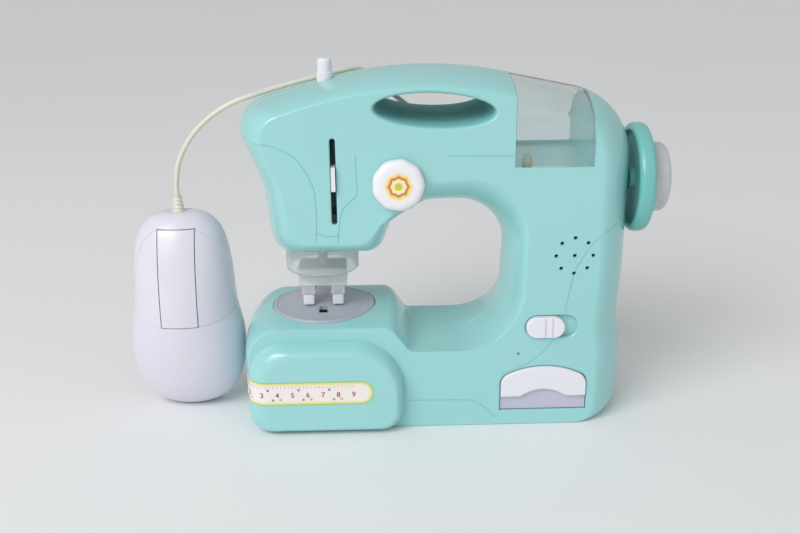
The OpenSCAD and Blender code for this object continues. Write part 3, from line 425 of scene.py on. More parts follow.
# Housing, in mm
housing = {
    "halfDepth": 36.0, "wall": 2.2, "power": 1.7, "cornerSteps": 12, "ringSteps": 18,
    "partingChamfer": 0.3, "partingGap": 0.1, "overlap": 0.4,
    # x, z and radius at the parting line, then the face's shift and radius
    "corners": [
        (-110.5, 0, 14, 5, 0, 12), (110.5, 0, 12, -21, 0, 10), (111.3, 43, 16, -21, 0, 16),
        (108.5, 56, 9, -21, 0, 9), (110.5, 92, 90, -21, 0, 90), (110.5, 183, 40, -21, -7, 32),
        (-12, 208, 220, 0, -5, 220), (-113, 180, 16, 16, -4, 14), (-96, 141, 50, 14, 0, 50),
        (-91, 99, 12, 13, 12, 12), (-30, 99, 10, -8, 12, 10), (-21, 124, 12, -10, -3, 8),
        (-2, 127.5, 40, -3, 18, 12), (42, 128, 28, 9, 20, 32), (38.5, 46, 32, 11, 0.5, 36),
        (-12, 46, 6, -3, 0.5, 6), (-22, 64, 8, -4, -3, 8), (-110.5, 64, 22, 5, -3, 18)],
    # Block that carries the scale: x, z and radius at its root and at its face
    "block": [(-106.5, 0.5, 10), (-18.5, 0.5, 12), (-18.5, 54, 28), (-106.5, 54, 20)],
    "blockFace": [(-95.5, 5, 8), (-23.5, 5, 10), (-23.5, 48, 24), (-95.5, 48, 16)],
    "blockOut": 10, "blockSunk": 2, "blockRoot": 2.7, "blockSteps": 14,
    "grip": {"x": -1, "z": 183, "half": (32, 8.8), "tilt": -2.8, "steps": 72, "past": 3, "rim": 0.6,
             "flare": 2.0, "flareDepth": 3.5, "flareSteps": 6, "painted": (33, 10.4, 34.8), "paintedShare": 1.05},
    "window": {"left": 42, "right": 84, "low": 152, "above": 230, "far": 60, "gap": 0.2, "lap": 0.05},
    # Stadium openings: middle, length and height
    "slot": (-55, 145.5, 47, 3), "switch": (64.8, 60.3, 29.7, 13.3),
    "slotDepth": 16, "slotBevel": 0.5, "switchDepth": 3, "bevel": 0.6, "drawerDepth": 3.2, "drawerGap": 0.4,
    "drawerWay": ((36.6, -34.3, 3.4), (86.4, 5, 29.4)), "door": ((-47, -28.8, -1), (23, 28.8, 3.2)),
    # Openings of both halves: axis, centre, radius, start, end and steps
    "bores": {"guardCutter": ("z", (-64, 0, 0), 21.2, 94, 112, 96),
              "spoolCutter": ("z", (-59.3, 0, 0), 5.2, 180, 212), "shaftCutter": ("x", (0, 0, 137), 3.1, 104, 116)},
    "plateX": -64, "plateSeat": [(0, 61), (30.2, 61), (30.2, 63.6), (31, 64.4), (31, 74), (0, 74)],
    # Rods of the front: place, radius, depths behind the face at start and end, steps
    "places": {"dial": (-20.5, 144.4), "speaker": (76, 102), "dimple": (46.6, 44.1)},
    "frontBosses": {"dialBoss": ("dial", 15.2, 0.1, 12, 96), "speakerRim": ("speaker", 13.6, 1.9, 7.2, 64)},
    "frontBores": {"dialBossHollow": ("dial", 13, 2.2, 13, 64), "dialBore": ("dial", 2.55, -5, 36, 32),
                   "pinDimple": ("dimple", 0.9, -3, 1.2, 24), "speakerSeat": ("speaker", 12.2, 2.3, 16, 64)},
    "sound": {"ring": 10.2, "hole": 1.1, "count": 8, "sides": 24, "out": -3, "deep": 16},
    # Turned details of the back: radius and height past the face
    "peg": [(0, -1.2), (2.2, -1.2), (2.2, 6.5), (3.3, 6.5), (3.6, 6.9), (3.6, 7.5), (3.1, 8), (0, 8)],
    "gland": [(0, -8), (3.2, -8), (3.2, -0.5), (4.2, 0.5), (4.2, 5), (0, 5)],
    "screw": [(0, -37), (1.6, -37), (1.6, -20), (2.8, -20), (2.8, -0.5), (3.4, 0.1), (3.4, 2), (0, 2)],
    "pegPlace": (53, 139.5), "glandPlace": (60, 10), "rearSteps": 32,
    "screws": [(-80, 168), (14, 162), (82, 47), (31, 30), (-92, 30)], "post": 4,
}


def cornerRow(corners, inset, steps):
    points = []
    for i, (x, z, r) in enumerate(corners):
        here = Vector((x, z))
        come = (here - Vector(corners[i - 1][:2])).normalized()
        go = (Vector(corners[(i + 1) % len(corners)][:2]) - here).normalized()
        bend = atan2(come.x * go.y - come.y * go.x, come.dot(go))
        side = 1 if bend > 0 else -1
        normal = Vector((come.y, -come.x))
        centre = here - come * r * tan(abs(bend) / 2) - side * r * normal
        first = atan2(normal.y, normal.x)
        for k in range(steps + 1):
            a = first + bend * k / steps
            points.append(centre + side * (r - side * inset) * Vector((cos(a), sin(a))))
    return points


# Ring between two rows of points, at a share of the way and at one y
def between(line, face, share, y):
    return [(a.x + (b.x - a.x) * share, y, a.y + (b.y - a.y) * share) for a, b in zip(line, face)]


def skinRing(angle, inset, side):
    steps, power = housing["cornerSteps"], housing["power"]
    line = cornerRow([c[:3] for c in housing["corners"]], inset, steps)
    face = cornerRow([(c[0] + c[3], c[1] + c[4], c[5]) for c in housing["corners"]], inset, steps)
    depth, share = sin(angle) ** (2 / power), 1 - max(0, cos(angle)) ** (2 / power)
    return between(line, face, share, side * depth * (housing["halfDepth"] - inset))


# One half of the skin as a solid; side is -1 at the front and 1 at the back
def skinHalf(name, inset, side, past=0, chamfer=0, material=turquoiseAbs):
    count = housing["ringSteps"]
    rings = [skinRing(pi / 2 * k / count, inset, side) for k in range(count + 1)]
    if past:
        rings.insert(0, [(x, -side * past, z) for x, y, z in rings[0]])
    if chamfer:
        rings[0] = skinRing(0, inset + chamfer, side)
        rings.insert(1, [(x, side * chamfer, z) for x, y, z in skinRing(0, inset, side)])
    return loft(name, rings, material)


def gripShape(grow):
    grip = housing["grip"]
    tilt = radians(grip["tilt"])
    points = []
    for k in range(grip["steps"]):
        a = 2 * pi * k / grip["steps"]
        p, q = (grip["half"][0] + grow) * cos(a), (grip["half"][1] + grow) * sin(a)
        points.append((grip["x"] + p * cos(tilt) - q * sin(tilt),
                       grip["z"] + p * sin(tilt) + q * cos(tilt)))
    return points


def gripCutter(side):
    grip, face = housing["grip"], side * housing["halfDepth"]
    flare, past = grip["flare"], side * grip["past"]
    rows = [(-past, 0)]
    for k in range(grip["flareSteps"] + 1):
        a = pi / 2 * k / grip["flareSteps"]
        rows.append((face - side * grip["flareDepth"] * (1 - sin(a)), flare * (1 - cos(a))))
    return standing("gripCutter", gripShape, rows + [(face + past, flare)])


def gripRim(side):
    wall, rim = housing["wall"], housing["grip"]["rim"]
    ends = sorted((side * housing["partingGap"], side * (housing["halfDepth"] - wall + rim)))
    return standing("gripRim", lambda grow: gripShape(grow + wall + rim), [(y, 0) for y in ends])


# Faces of the grip's wall, inside its oval and behind the flare, that take the painted shade
def onGrip(middle, normal):
    grip = housing["grip"]
    across, above, deep = grip["painted"]
    share = ((middle.x - grip["x"]) / across) ** 2 + ((middle.z - grip["z"]) / above) ** 2
    return share < grip["paintedShare"] and abs(middle.y) < deep


def windowCutter(name, grow):
    window = housing["window"]
    return block(name, (window["left"] - grow, -window["far"], window["low"] - grow),
                 (window["right"] + grow, window["far"], window["above"]))


# Cuts that both halves share
def sharedCuts(side):
    return [turned("plateCutter", housing["plateSeat"], "z", (housing["plateX"], 0, 0)),
            *[rod(name, *row) for name, row in housing["bores"].items()],
            windowCutter("windowCutter", housing["window"]["gap"]), gripCutter(side),
            block("doorCutter", *housing["door"])]


# Ring of holes as a node tree, so that its count and size can be changed
def holeRing(name, facts, place):
    tree, given = startTree("soundHoleRing", {"Ring": "Float", "Hole": "Float", "Depth": "Float", "Count": "Int"})
    circle = addNode(tree, "GeometryNodeMeshCircle", {"Vertices": given["Count"], "Radius": given["Ring"]})
    middle = addNode(tree, "GeometryNodeMeshLine", {"Count": 1})
    points = addNode(tree, "GeometryNodeJoinGeometry", {0: circle["Mesh"]})
    tree.links.new(middle["Mesh"], points[0].node.inputs[0])
    hole = addNode(tree, "GeometryNodeMeshCylinder",
                   {"Vertices": facts["sides"], "Radius": given["Hole"], "Depth": given["Depth"]})
    spread = addNode(tree, "GeometryNodeInstanceOnPoints",
                     {"Points": points[0], "Instance": hole["Mesh"]})
    endTree(tree, spread["Instances"], turquoiseAbs)
    piece = makePiece(name, [], [])
    runTree(piece, tree, {"Ring": facts["ring"] * mm, "Hole": facts["hole"] * mm, "Count": facts["count"],
                          "Depth": (facts["deep"] - facts["out"]) * mm})
    settle(piece)
    standUp(piece.data, (place[0], (facts["out"] + facts["deep"]) / 2 - housing["halfDepth"], place[1]))
    return piece


# Tube along a row of points, as a node tree
def tubeAlong(name, path, radius, sides=10):
    tree, given = startTree("tubeAlongPath", {"Path": "Geometry", "Radius": "Float", "Sides": "Int"})
    ring = addNode(tree, "GeometryNodeCurvePrimitiveCircle",
                   {"Resolution": given["Sides"], "Radius": given["Radius"]})
    tube = addNode(tree, "GeometryNodeCurveToMesh",
                   {"Curve": given["Path"], "Profile Curve": ring["Curve"], "Fill Caps": True})
    endTree(tree, tube["Mesh"], turquoiseAbs)
    holder = addObject(name + "Path", polyLine(name, path))
    runTree(holder, tree, {"Radius": radius * mm, "Sides": sides})
    piece = addObject(name, bake(holder))
    bpy.data.objects.remove(holder)
    return fixFaces(piece)


# Points of a front path laid on a piece's skin, found from far in front
def layOn(piece, path, steps=6, far=200):
    shape = BVHTree.FromObject(piece, bpy.context.evaluated_depsgraph_get())
    hits = [shape.ray_cast(Vector((point.x, -far, point.z)) * mm, Vector((0, 1, 0)))
            for point in smoothRoute([(x, 0, z) for x, z in path], steps)]
    return [hit[0] / mm for hit in hits if hit[0] is not None]


# Grooves of the front, in x and z
seams = {
    "radius": 0.45,   # mm
    "paths": {
        "headLeft": [(-103, 167.8), (-95, 166.2), (-88, 165.4), (-81, 162.9), (-75, 158.9), (-71, 153.8),
                     (-67, 146.4), (-65, 139), (-64.4, 126.4), (-65, 112)],
        "headRight": [(-42.8, 159.2), (-42.7, 150), (-42.6, 138.7), (-48.8, 132.1), (-51.1, 127.7),
                      (-52.5, 119.4), (-53, 112)],
        "tongue": [(-64.2, 117.2), (-59.4, 115.4), (-53, 115.6)],
        "armRight": [(6, 158.8), (24, 158.5), (41, 158.2)],
        "pillarTop": [(100, 118.5), (90.7, 113.2), (84, 106), (79.5, 98.5), (76, 90), (72.2, 69)],
        "pillarLow": [(66, 52.2), (60, 44.2), (53, 38.6), (44, 34), (37.6, 31.8)],
        "plinth": [(-16, 16.4), (0, 16.1), (19, 15.6), (25, 13), (30.5, 8.5), (34, 4.5)],
    },
}


def frontRods(rods):
    half = housing["halfDepth"]
    for name, (place, r, near, far, steps) in rods.items():
        x, z = housing["places"][place]
        yield rod(name, "y", (x, 0, z), r, near - half, far - half, steps)


def screwPosts(low, high):
    return [rod("screwPost", "y", (x, 0, z), housing["post"], low, high, housing["rearSteps"])
            for x, z in housing["screws"]]


# Opening in the front face with a bevelled edge
def opening(name, shape, bevel, depth, grow=0, out=4, clear=0.01):
    rows = [(-out, grow + bevel), (-clear, grow + bevel), (bevel, grow), (depth, grow)]
    return standing(name, shape, rows, y=-housing["halfDepth"])


def scaleBlock():
    half, steps, sunk = housing["halfDepth"], housing["blockSteps"], housing["blockSunk"]
    root, face = (cornerRow(housing[key], 0, housing["cornerSteps"]) for key in ("block", "blockFace"))
    rings = [between(root, face, 0, housing["blockRoot"] - half)]
    for k in range(steps + 1):
        a = pi / 2 * k / steps
        rings.append(between(root, face, 1 - cos(a), sunk - half - (housing["blockOut"] + sunk) * sin(a)))
    return loft("scaleBlock", rings)


def buildFront():
    half, wall, deep = housing["halfDepth"], housing["wall"], housing["switchDepth"]
    skin = skinHalf("frontHousing", 0, -1, chamfer=housing["partingChamfer"])
    join(skin, scaleBlock())
    cut(skin, skinHalf("frontHollow", wall, -1, past=2))
    pan, slot = stadiumShape(*housing["switch"]), stadiumShape(*housing["slot"], upright=True)
    inner = wall - housing["overlap"]
    join(skin, standing("switchPan", lambda grow: pan(grow + wall), [(inner, 0), (wall + deep, 0)], y=-half),
         gripRim(-1), *frontRods(housing["frontBosses"]), *screwPosts(inner - half, -housing["partingGap"]))
    cut(skin, *sharedCuts(-1), *frontRods(housing["frontBores"]),
        opening("slotCutter", slot, housing["slotBevel"], housing["slotDepth"]),
        opening("switchCutter", pan, housing["bevel"], deep),
        holeRing("soundHoles", housing["sound"], housing["places"]["speaker"]),
        opening("drawerCutter", drawerShape, housing["bevel"], housing["drawerDepth"], housing["drawerGap"]),
        block("drawerWay", *housing["drawerWay"]))
    for name, path in seams["paths"].items():
        cut(skin, tubeAlong(name, layOn(skin, path), seams["radius"]))
    # The grip's wall takes the painted shade of the recess material
    return dress(paint(smooth(skin), recessShadeAbs, onGrip), "machine", "teal_shell", "front_shell")


# Drawer; edge rows are depth behind the front and growth of the outline
drawer = {"x": 61.5, "low": 9, "half": 24.5, "side": 20, "arch": 7, "soft": 4.5, "archSteps": 24, "softSteps": 8,
          "front": -37, "edge": [(5, 0), (0.9, 0), (0.45, -0.12), (0.12, -0.45), (0, -0.9)],
          "scoop": {"half": 30, "under": 2, "rise": 8, "radius": 20, "drop": 7.5, "from": 40, "turn": 100,
                    "steps": 20, "painted": (0.8, 4.5),
                    "edge": [(-2, 1.7), (0, 1.7), (0.1, 1.15), (0.4, 0.6), (0.9, 0.22), (1.5, 0.05), (2.5, 0)]},
          "tray": ((-24.1, -32.2, 9), (24.1, 12, 29)), "inside": ((-22.3, -33, 10.8), (22.3, 10.2, 31)),
          "trayEnds": (-33, 13), "trayGap": -0.2, "catch": ((-1.7, 4.7, 13), (1.7, 6.7, 19)), "catchOut": 24}


def drawerShape(grow):
    low, half = drawer["low"] - grow, drawer["half"] + grow
    top = drawer["low"] + drawer["side"] + drawer["arch"] + grow
    radius = (half * half + drawer["arch"] ** 2) / (2 * drawer["arch"])
    spread = asin(half / radius)
    shoulder, soft = top - radius + radius * cos(spread), drawer["soft"]
    reach = spread - soft / radius
    arch = [(radius * sin(a), top - radius + radius * cos(a))
            for a in (reach - 2 * reach * k / drawer["archSteps"] for k in range(drawer["archSteps"] + 1))]
    right = [(half, low)]
    for k in range(drawer["softSteps"]):
        t = k / drawer["softSteps"]
        side, rise = (1 - t) ** 2 + 2 * t * (1 - t), (1 - t) ** 2 * (shoulder - soft) + 2 * t * (1 - t) * shoulder
        right.append((side * half + t * t * arch[0][0], rise + t * t * arch[0][1]))
    flat = right + arch + [(-p, q) for p, q in reversed(right)]
    return [(drawer["x"] + p, q) for p, q in flat]


def rearTurned(name, key, place):
    profile = [(r, housing["halfDepth"] + h) for r, h in housing[key]]
    return turned(name, profile, "y", (place[0], 0, place[1]), housing["rearSteps"])


def buildRear():
    half, wall = housing["halfDepth"], housing["wall"]
    skin = skinHalf("rearHousing", 0, 1, chamfer=housing["partingChamfer"])
    cut(skin, skinHalf("rearHollow", wall, 1, past=2))
    join(skin, gripRim(1), rearTurned("leadPeg", "peg", housing["pegPlace"]),
         *screwPosts(housing["partingGap"], half - wall / 2))
    cut(skin, *sharedCuts(1), rearTurned("glandCutter", "gland", housing["glandPlace"]),
        *[rearTurned("screwCutter", "screw", place) for place in housing["screws"]])
    # The grip's wall takes the painted shade of the recess material
    return dress(paint(smooth(skin), recessShadeAbs, onGrip), "machine", "teal_shell", "rear_shell")


def buildWindow():
    wall, lap = housing["wall"], housing["window"]["lap"]
    cover = skinHalf("clearWindow", 0, -1, material=clearStyrene)
    join(cover, skinHalf("rearSkin", 0, 1, lap))
    cut(cover, skinHalf("frontHollow", wall, -1), skinHalf("rearHollow", wall, 1, lap))
    keep(cover, windowCutter("windowKeep", 0))
    return dress(smooth(cover), "machine", "clear_plastic", "window_cover")


frontHousing = buildFront()
buildRear()
buildWindow()
print("housing built")


# Hand wheel and its knob, turned about the main shaft
wheel = {"x": 111.5, "z": 137, "thick": 9, "hollow": 27, "steps": 128,
         "rim": [(2.5, 0), (6.5, 0), (6.5, 3), (27, 3), (27, 0.4), (27.4, 0), (28.6, 0), (29.8, 0.5), (30.6, 1.5),
                 (31, 3), (31, 6), (30.6, 7.5), (29.8, 8.5), (28.6, 9), (25.5, 9), (24.9, 8.7), (24.3, 8.5),
                 (2.5, 8.5)],
         "knob": [(0, 0), (18.9, 0), (19.6, 0.3), (20, 1), (19.9, 4), (19.6, 8.4), (19.1, 9.8), (18, 10.9),
                  (16.4, 11.6), (14.6, 12), (13.4, 12), (12.8, 11.7), (12.2, 11.4), (0, 11.3)]}


def buildWheel(facts):
    x, z, steps = facts["x"], facts["z"], facts["steps"]
    rim = smooth(turned("handWheel", facts["rim"], "x", (x, 0, z), steps, deepTealAbs))
    # The wheel's hollow web takes the painted shade of the recess material, without sheen
    paint(rim, recessShadeAbs, lambda c, n: n.x < -0.9 and hypot(c.y, c.z - z) < facts["hollow"])
    dress(rim, "drive", "deep_teal", "hand_wheel")
    knob = turned("wheelKnob", facts["knob"], "x", (x + facts["thick"], 0, z), steps, milkyStyrene)
    dress(smooth(knob), "drive", "white_plastic", "wheel_knob")


buildWheel(wheel)

# Dial with a scalloped rim and a printed rosette; rosette rows are radius and colour
dial = {"x": -20.5, "back": -36.3, "z": 144.4, "lobes": 9, "lobeDepth": 0.35, "lobesFrom": 10.5, "steps": 144,
        "profile": [(0, 1), (2.5, 1), (2.5, 0), (12.5, 0), (13.5, 0.5), (14, 1.5), (14, 4), (13.8, 5), (13.2, 5.8),
                    (12.3, 6.4), (11.2, 6.8), (9.6, 7), (0, 7)],
        "petals": 8, "petalFrom": 2.4, "petalFull": 4.6, "petalDepth": 0.3, "reach": 10,
        "rosette": [(0.0, "#c9d23c"), (1.9, "#c9d23c"), (2.2, "#f4ef9c"), (3.2, "#fbf1c8"), (4.0, "#f7ddc8"),
                    (4.4, "#d9703a"), (5.2, "#d9803f"), (5.6, "#f4cf57"), (6.4, "#f7e08e"), (7.8, "#f1f0f5")]}


# Glossy printed ABS: the rosette's rings run round the dial's middle with wavy edges
def rosettePrint(facts):
    material, tree, place = startMaterial("whiteAbsPrintedRosette")

    def work(operation, *values):
        return addNode(tree, "ShaderNodeMath", dict(enumerate(values)), operation=operation)[0]
    parts = addNode(tree, "ShaderNodeSeparateXYZ", {0: place})
    across = work("MULTIPLY_ADD", parts["X"], 1 / mm, -facts["x"])
    above = work("MULTIPLY_ADD", parts["Z"], 1 / mm, -facts["z"])
    wave = work("COSINE", work("MULTIPLY", work("ARCTAN2", above, across), facts["petals"]))
    flat = addNode(tree, "ShaderNodeCombineXYZ", {"X": across, "Y": above})[0]
    reach = addNode(tree, "ShaderNodeVectorMath", {0: flat}, operation="LENGTH")["Value"]
    swing = addNode(tree, "ShaderNodeMapRange", {"Value": reach, "From Min": facts["petalFrom"], "To Min": 0.0,
                                                 "From Max": facts["petalFull"], "To Max": -facts["petalDepth"]})
    wavy = work("MULTIPLY_ADD", wave, swing["Result"], reach)
    ramp = addNode(tree, "ShaderNodeValToRGB", {0: work("DIVIDE", wavy, facts["reach"])})
    stops = ramp["Color"].node.color_ramp.elements
    for i, (radius, code) in enumerate(facts["rosette"]):
        share = radius / facts["reach"]
        stop = stops[i] if i < 2 else stops.new(share)
        stop.position, stop.color = share, fromHex(code)
    gloss = addNode(tree, "ShaderNodeMapRange", {"Value": noise(tree, place, 800.0), "To Min": 0.26, "To Max": 0.4})
    endMaterial(tree, {"Base Color": ramp["Color"], "Roughness": gloss["Result"], "IOR": 1.53})
    return material


def buildDial(facts):
    profile = [(r, -h) for r, h in facts["profile"]]
    piece = turned("patternDial", profile, "y", (facts["x"], facts["back"], facts["z"]), facts["steps"],
                   rosettePrint(facts))
    for point in piece.data.vertices:
        across, above = point.co.x / mm - facts["x"], point.co.z / mm - facts["z"]
        reach = hypot(across, above)
        if reach > facts["lobesFrom"]:
            share = facts["lobeDepth"] * (cos(facts["lobes"] * atan2(above, across)) - 1) / 2 / reach
            point.co.x += across * share * mm
            point.co.z += above * share * mm
    return dress(smooth(piece), "dial_body", "white_plastic", "dial")


buildDial(dial)
print("wheel, knob and dial built")


# Needle plate, guard, foot and toes. Boxes are low and high corners from the needle's line, at x
needleEnd = {
    "x": -64,
    "plate": [(0, 61), (29.6, 61), (30, 61.4), (30, 62.9), (29.7, 63.5), (29.1, 63.9), (28.5, 64), (27.7, 64),
              (27.3, 63.8), (27, 63.6), (0, 63.6)],
    "slot": ((-2.5, -16, 50), (2.5, -5, 70)), "slotEdge": 0.8,
    "guard": [(19.4, 87.5), (19.8, 87), (20.6, 87), (21, 87.5), (21, 112), (19.4, 112)],
    "notch": ((-30, -60, 108), (30, -12, 120)),
    "foot": ((-14, -10, 77.5), (14, 10, 88.5)), "footEdge": 0.9, "legOut": 8.5, "pocketOut": 7.35,
    "leg": ((-4, -7, 71.5), (4, 7, 78.6)), "legEdge": 0.6, "pocket": ((-5.15, -8.5, 79.5), (5.15, 8.5, 83.5)),
    "bores": {"barBore": (3, 84.5, 92), "needleBore": (1, 70, 86, 24)},   # radius, start, end and steps
    "toe": ((-3.3, -6, 64.5), (3.3, 6, 71.5)), "toeEdge": 1.0,
}


def buildNeedleEnd(facts):
    x = facts["x"]
    plate = turned("needlePlate", facts["plate"], "z", (x, 0, 0), 128, frostedStyrene)
    cut(plate, rounded(block("plateSlot", *facts["slot"], x=x), facts["slotEdge"]))
    dress(smooth(plate), "machine", "frosted_plastic", "needle_plate")
    guard = turned("needleGuard", facts["guard"], "z", (x, 0, 0), 96, collarStyrene)
    cut(guard, block("guardNotch", *facts["notch"], x=x))
    dress(smooth(guard), "machine", "clear_plastic", "needle_guard")
    foot = rounded(block("needleFoot", *facts["foot"], hazyStyrene, x), facts["footEdge"])
    toes = []
    for side in (-1, 1):
        middle = x + side * facts["legOut"]
        join(foot, rounded(block("footLeg", *facts["leg"], x=middle), facts["legEdge"]))
        cut(foot, block("footPocket", *facts["pocket"], x=x + side * facts["pocketOut"]))
        toes.append(rounded(block("footToes", *facts["toe"], whiteAbs, middle), facts["toeEdge"]))
    cut(foot, *[rod(name, "z", (x, 0, 0), *row) for name, row in facts["bores"].items()])
    dress(smooth(foot), "needle_body", "clear_plastic", "needle_foot")
    dress(smooth(join(*toes)), "needle_body", "white_plastic", "foot_toes")


buildNeedleEnd(needleEnd)

# Spool pin, turned
spool = {"x": -59.3, "profile": [(0, 185), (6.6, 185), (6.6, 187), (4.6, 187), (4.6, 198.6), (4.3, 198.9), (4, 199),
                                 (4, 205), (3.8, 205.7), (3.3, 206.2), (2.6, 206.5), (0, 206.5)]}
spoolPin = turned("spoolPin", spool["profile"], "z", (spool["x"], 0, 0), 64, whiteAbs)
dress(smooth(spoolPin), "machine", "white_plastic", "spool_pin")

# Slide switch button: a rounded tablet with two finger grooves
button = {"x": 61.3, "z": 60.3, "length": 21.9, "height": 12.5, "front": -38.5,
          "edge": [(5.2, 0), (1, 0), (0.5, -0.15), (0.15, -0.5), (0, -1.1)],
          "grooves": (61.3, 65.3), "groove": ((-0.5, -39.5, 40), (0.5, -37.6, 80)),
          "stem": ((-2, -34, 59.2), (2, -31.1, 61.4))}


def buildButton(facts):
    shape = stadiumShape(facts["x"], facts["z"], facts["length"], facts["height"], steps=20)
    piece = standing("switchButton", shape, facts["edge"], whiteAbs, facts["front"])
    cut(piece, *[block("buttonGroove", *facts["groove"], x=x) for x in facts["grooves"]])
    join(piece, block("buttonStem", *facts["stem"], x=facts["x"]))
    return dress(smooth(piece), "switch_body_slide", "white_plastic", "switch_button")


buildButton(button)


# Drawer: arched front with a scooped lower part, and a tray behind it
def buildDrawer(facts):
    front, x, scoop = facts["front"], facts["x"], facts["scoop"]

    def scoopShape(grow):
        half, under, rise = scoop["half"], facts["low"] - scoop["under"], facts["low"] + scoop["rise"] + grow
        radius, points = scoop["radius"] + grow, [(x - half, under), (x + half, under), (x + half, rise)]
        for k in range(scoop["steps"] + 1):
            a = radians(scoop["from"] + scoop["turn"] * k / scoop["steps"])
            above = facts["low"] - scoop["drop"] + radius * sin(a)
            points.append((x + radius * cos(a), max(rise, above)))
        return points + [(x - half, rise)]
    piece = standing("accessoryDrawer", drawerShape, facts["edge"], whiteAbs, front)
    cut(piece, standing("drawerScoop", scoopShape, scoop["edge"], y=front))
    tray = cut(block("tray", *facts["tray"], x=x), block("trayInside", *facts["inside"], x=x))
    keep(tray, standing("trayKeep", drawerShape, [(y, facts["trayGap"]) for y in facts["trayEnds"]]))
    join(tray, *[block("trayCatch", *facts["catch"], x=x + side * facts["catchOut"]) for side in (-1, 1)])
    smooth(join(piece, tray))
    # The scoop's front faces take the lilac-grey painted shade
    near, far = scoop["painted"]
    paint(piece, scoopShadeAbs, lambda c, n: n.y < -0.8 and near < c.y - front < far)
    return dress(piece, "drawer_body", "white_plastic", "drawer")


buildDrawer(drawer)
print("small pieces built")


# Pedal: stations along its length hold share of length, half width and thickness
pedal = {"x": -146, "back": 10, "floor": 5, "length": 120, "half": 33.5, "thick": 31, "wall": 2.2, "sides": 40,
         "stations": [(0, 0.24, 0.3), (0.025, 0.52, 0.46), (0.085, 0.78, 0.66), (0.2, 0.96, 0.84), (0.375, 1, 0.97),
                      (0.55, 0.89, 1), (0.75, 0.84, 0.9), (0.9, 0.72, 0.72), (0.975, 0.5, 0.52), (1, 0.26, 0.34)],
         "stationSteps": 6, "edge": (0.35, 2, 50),   # width, segments and angle of the rounded edges
         "key": {"half": 10.75, "low": 57, "high": 113, "gap": 0.5, "front": -60, "rear": 2,
                 "lug": ((-1.2, -19, 57.8), (1.2, -10.8, 62.2)), "lugOut": 7.75},
         "floorRows": [(5.25, -0.35), (5.6, 0), (9.1, 0), (10, -0.9)],   # y and growth
         # Seams of the right half, with x from the middle
         "seamRadius": 0.5, "seams": [
             [(10.8, 57.4), (19, 58.2), (26, 60), (31.5, 63)],
             [(29.6, 61.8), (28.4, 72), (26, 84), (23.2, 96), (18.5, 106.5), (11, 112.3)]]}


def pedalStations(facts):
    rows = [(s * facts["length"], w * facts["half"], t * facts["thick"]) for s, w, t in facts["stations"]]
    return smoothRoute(rows, facts["stationSteps"])


def pedalLoft(name, facts, inset):
    rings, seat = [], facts["back"] - facts["floor"]
    for z, w, t in pedalStations(facts):
        z = inset + z * (facts["length"] - 2 * inset) / facts["length"]
        w, rise = max(w - inset, 1), max(t - inset - facts["floor"], 1)
        ring = [(facts["x"] - w * cos(pi * k / facts["sides"]),
                 seat - rise * sin(pi * k / facts["sides"]), z) for k in range(facts["sides"] + 1)]
        if inset:
            ring = [(ring[0][0], seat + 2, z)] + ring + [(ring[-1][0], seat + 2, z)]
        rings.append(ring)
    return loft(name, rings, pedalAbs)


def buildPedal(facts):
    key, x = facts["key"], facts["x"]
    sides = [(w, z) for z, w, t in pedalStations(facts)]

    def keyBox(name, gap):
        half = key["half"] - gap
        return block(name, (-half, key["front"], key["low"] + gap), (half, key["rear"], key["high"] - gap), x=x)

    def footprint(grow):
        return [(x + w + grow, z) for w, z in sides] + [(x - w - grow, z) for w, z in reversed(sides)]
    top = cut(pedalLoft("pedalTop", facts, 0), pedalLoft("pedalHollow", facts, facts["wall"]))
    press = addObject("pedalKey", top.data.copy())
    cut(top, keyBox("keyOpening", 0))
    for seam in facts["seams"]:
        for side in (1, -1):
            path = layOn(top, [(x + side * across, z) for across, z in seam])
            cut(top, tubeAlong("pedalSeam", path, facts["seamRadius"]))
    keep(press, keyBox("keyKeep", key["gap"]))
    join(press, *[block("keyLug", *key["lug"], x=x + side * key["lugOut"]) for side in (-1, 1)])
    dress(smooth(rounded(top, *facts["edge"])), "machine", "white_plastic", "pedal_top")
    dress(smooth(rounded(press, *facts["edge"])), "key_body", "white_plastic", "pedal_key")
    base = standing("pedalFloor", footprint, facts["floorRows"], pedalAbs)
    dress(smooth(base), "machine", "white_plastic", "pedal_base")


buildPedal(pedal)

# Strain relief with moulded ribs
relief = {"x": -146, "y": 5, "low": 120, "high": 129, "wide": 3.6, "narrow": 2.4, "ribs": 4, "groove": 0.45}


def buildRelief(facts):
    low, high, rows = facts["low"], facts["high"], facts["ribs"] * 4
    profile = [(0, low)]
    for k in range(rows + 1):
        r = facts["wide"] + (facts["narrow"] - facts["wide"]) * k / rows
        profile.append((r - (facts["groove"] if k % 4 in (2, 3) else 0), low + (high - low) * k / rows))
    piece = turned("strainRelief", profile + [(0, high)], "z", (facts["x"], facts["y"], 0), 40, leadPvc)
    return dress(smooth(piece, 25), "machine", "lead_jacket", "strain_relief")


buildRelief(relief)
print("pedal built")


# Paper label with a scale of plain numbers, laid on the block's front. Lifts are heights above the block
scaleLabel = {"left": -118, "right": -35.5, "z": 26.8, "height": 14.2, "columns": 96, "rows": 8, "endShare": 0.4,
              "corner": (-92, -30), "cornerRadius": 16, "sheet": 0.06, "inkLift": 0.28, "ink": "#b8525a",
              # inset, colour and lift
              "layers": {"Border": (0.0, "#a3c684", 0.06), "Band": (0.7, "#ece48e", 0.12),
                         "Field": (1.9, "#f4ecec", 0.18)},
              "digits": "123456789", "digitSize": 4.3, "digitRise": -0.9, "bold": 0.05, "first": -115.3, "step": 8.55,
              "tick": (0.14, 0.7, 4), "tickCount": 33, "tickRise": 4.1, "dot": (0.75, 0.75, 10), "dotCount": 4,
              # colour, start and rise
              "dots": {"Blue": ("#6f93c6", 3.4, 2.4), "Yellow": ("#dcb566", 10.3, -3.4),
                       "Green": ("#84ad70", 6.0, -3.6)}}


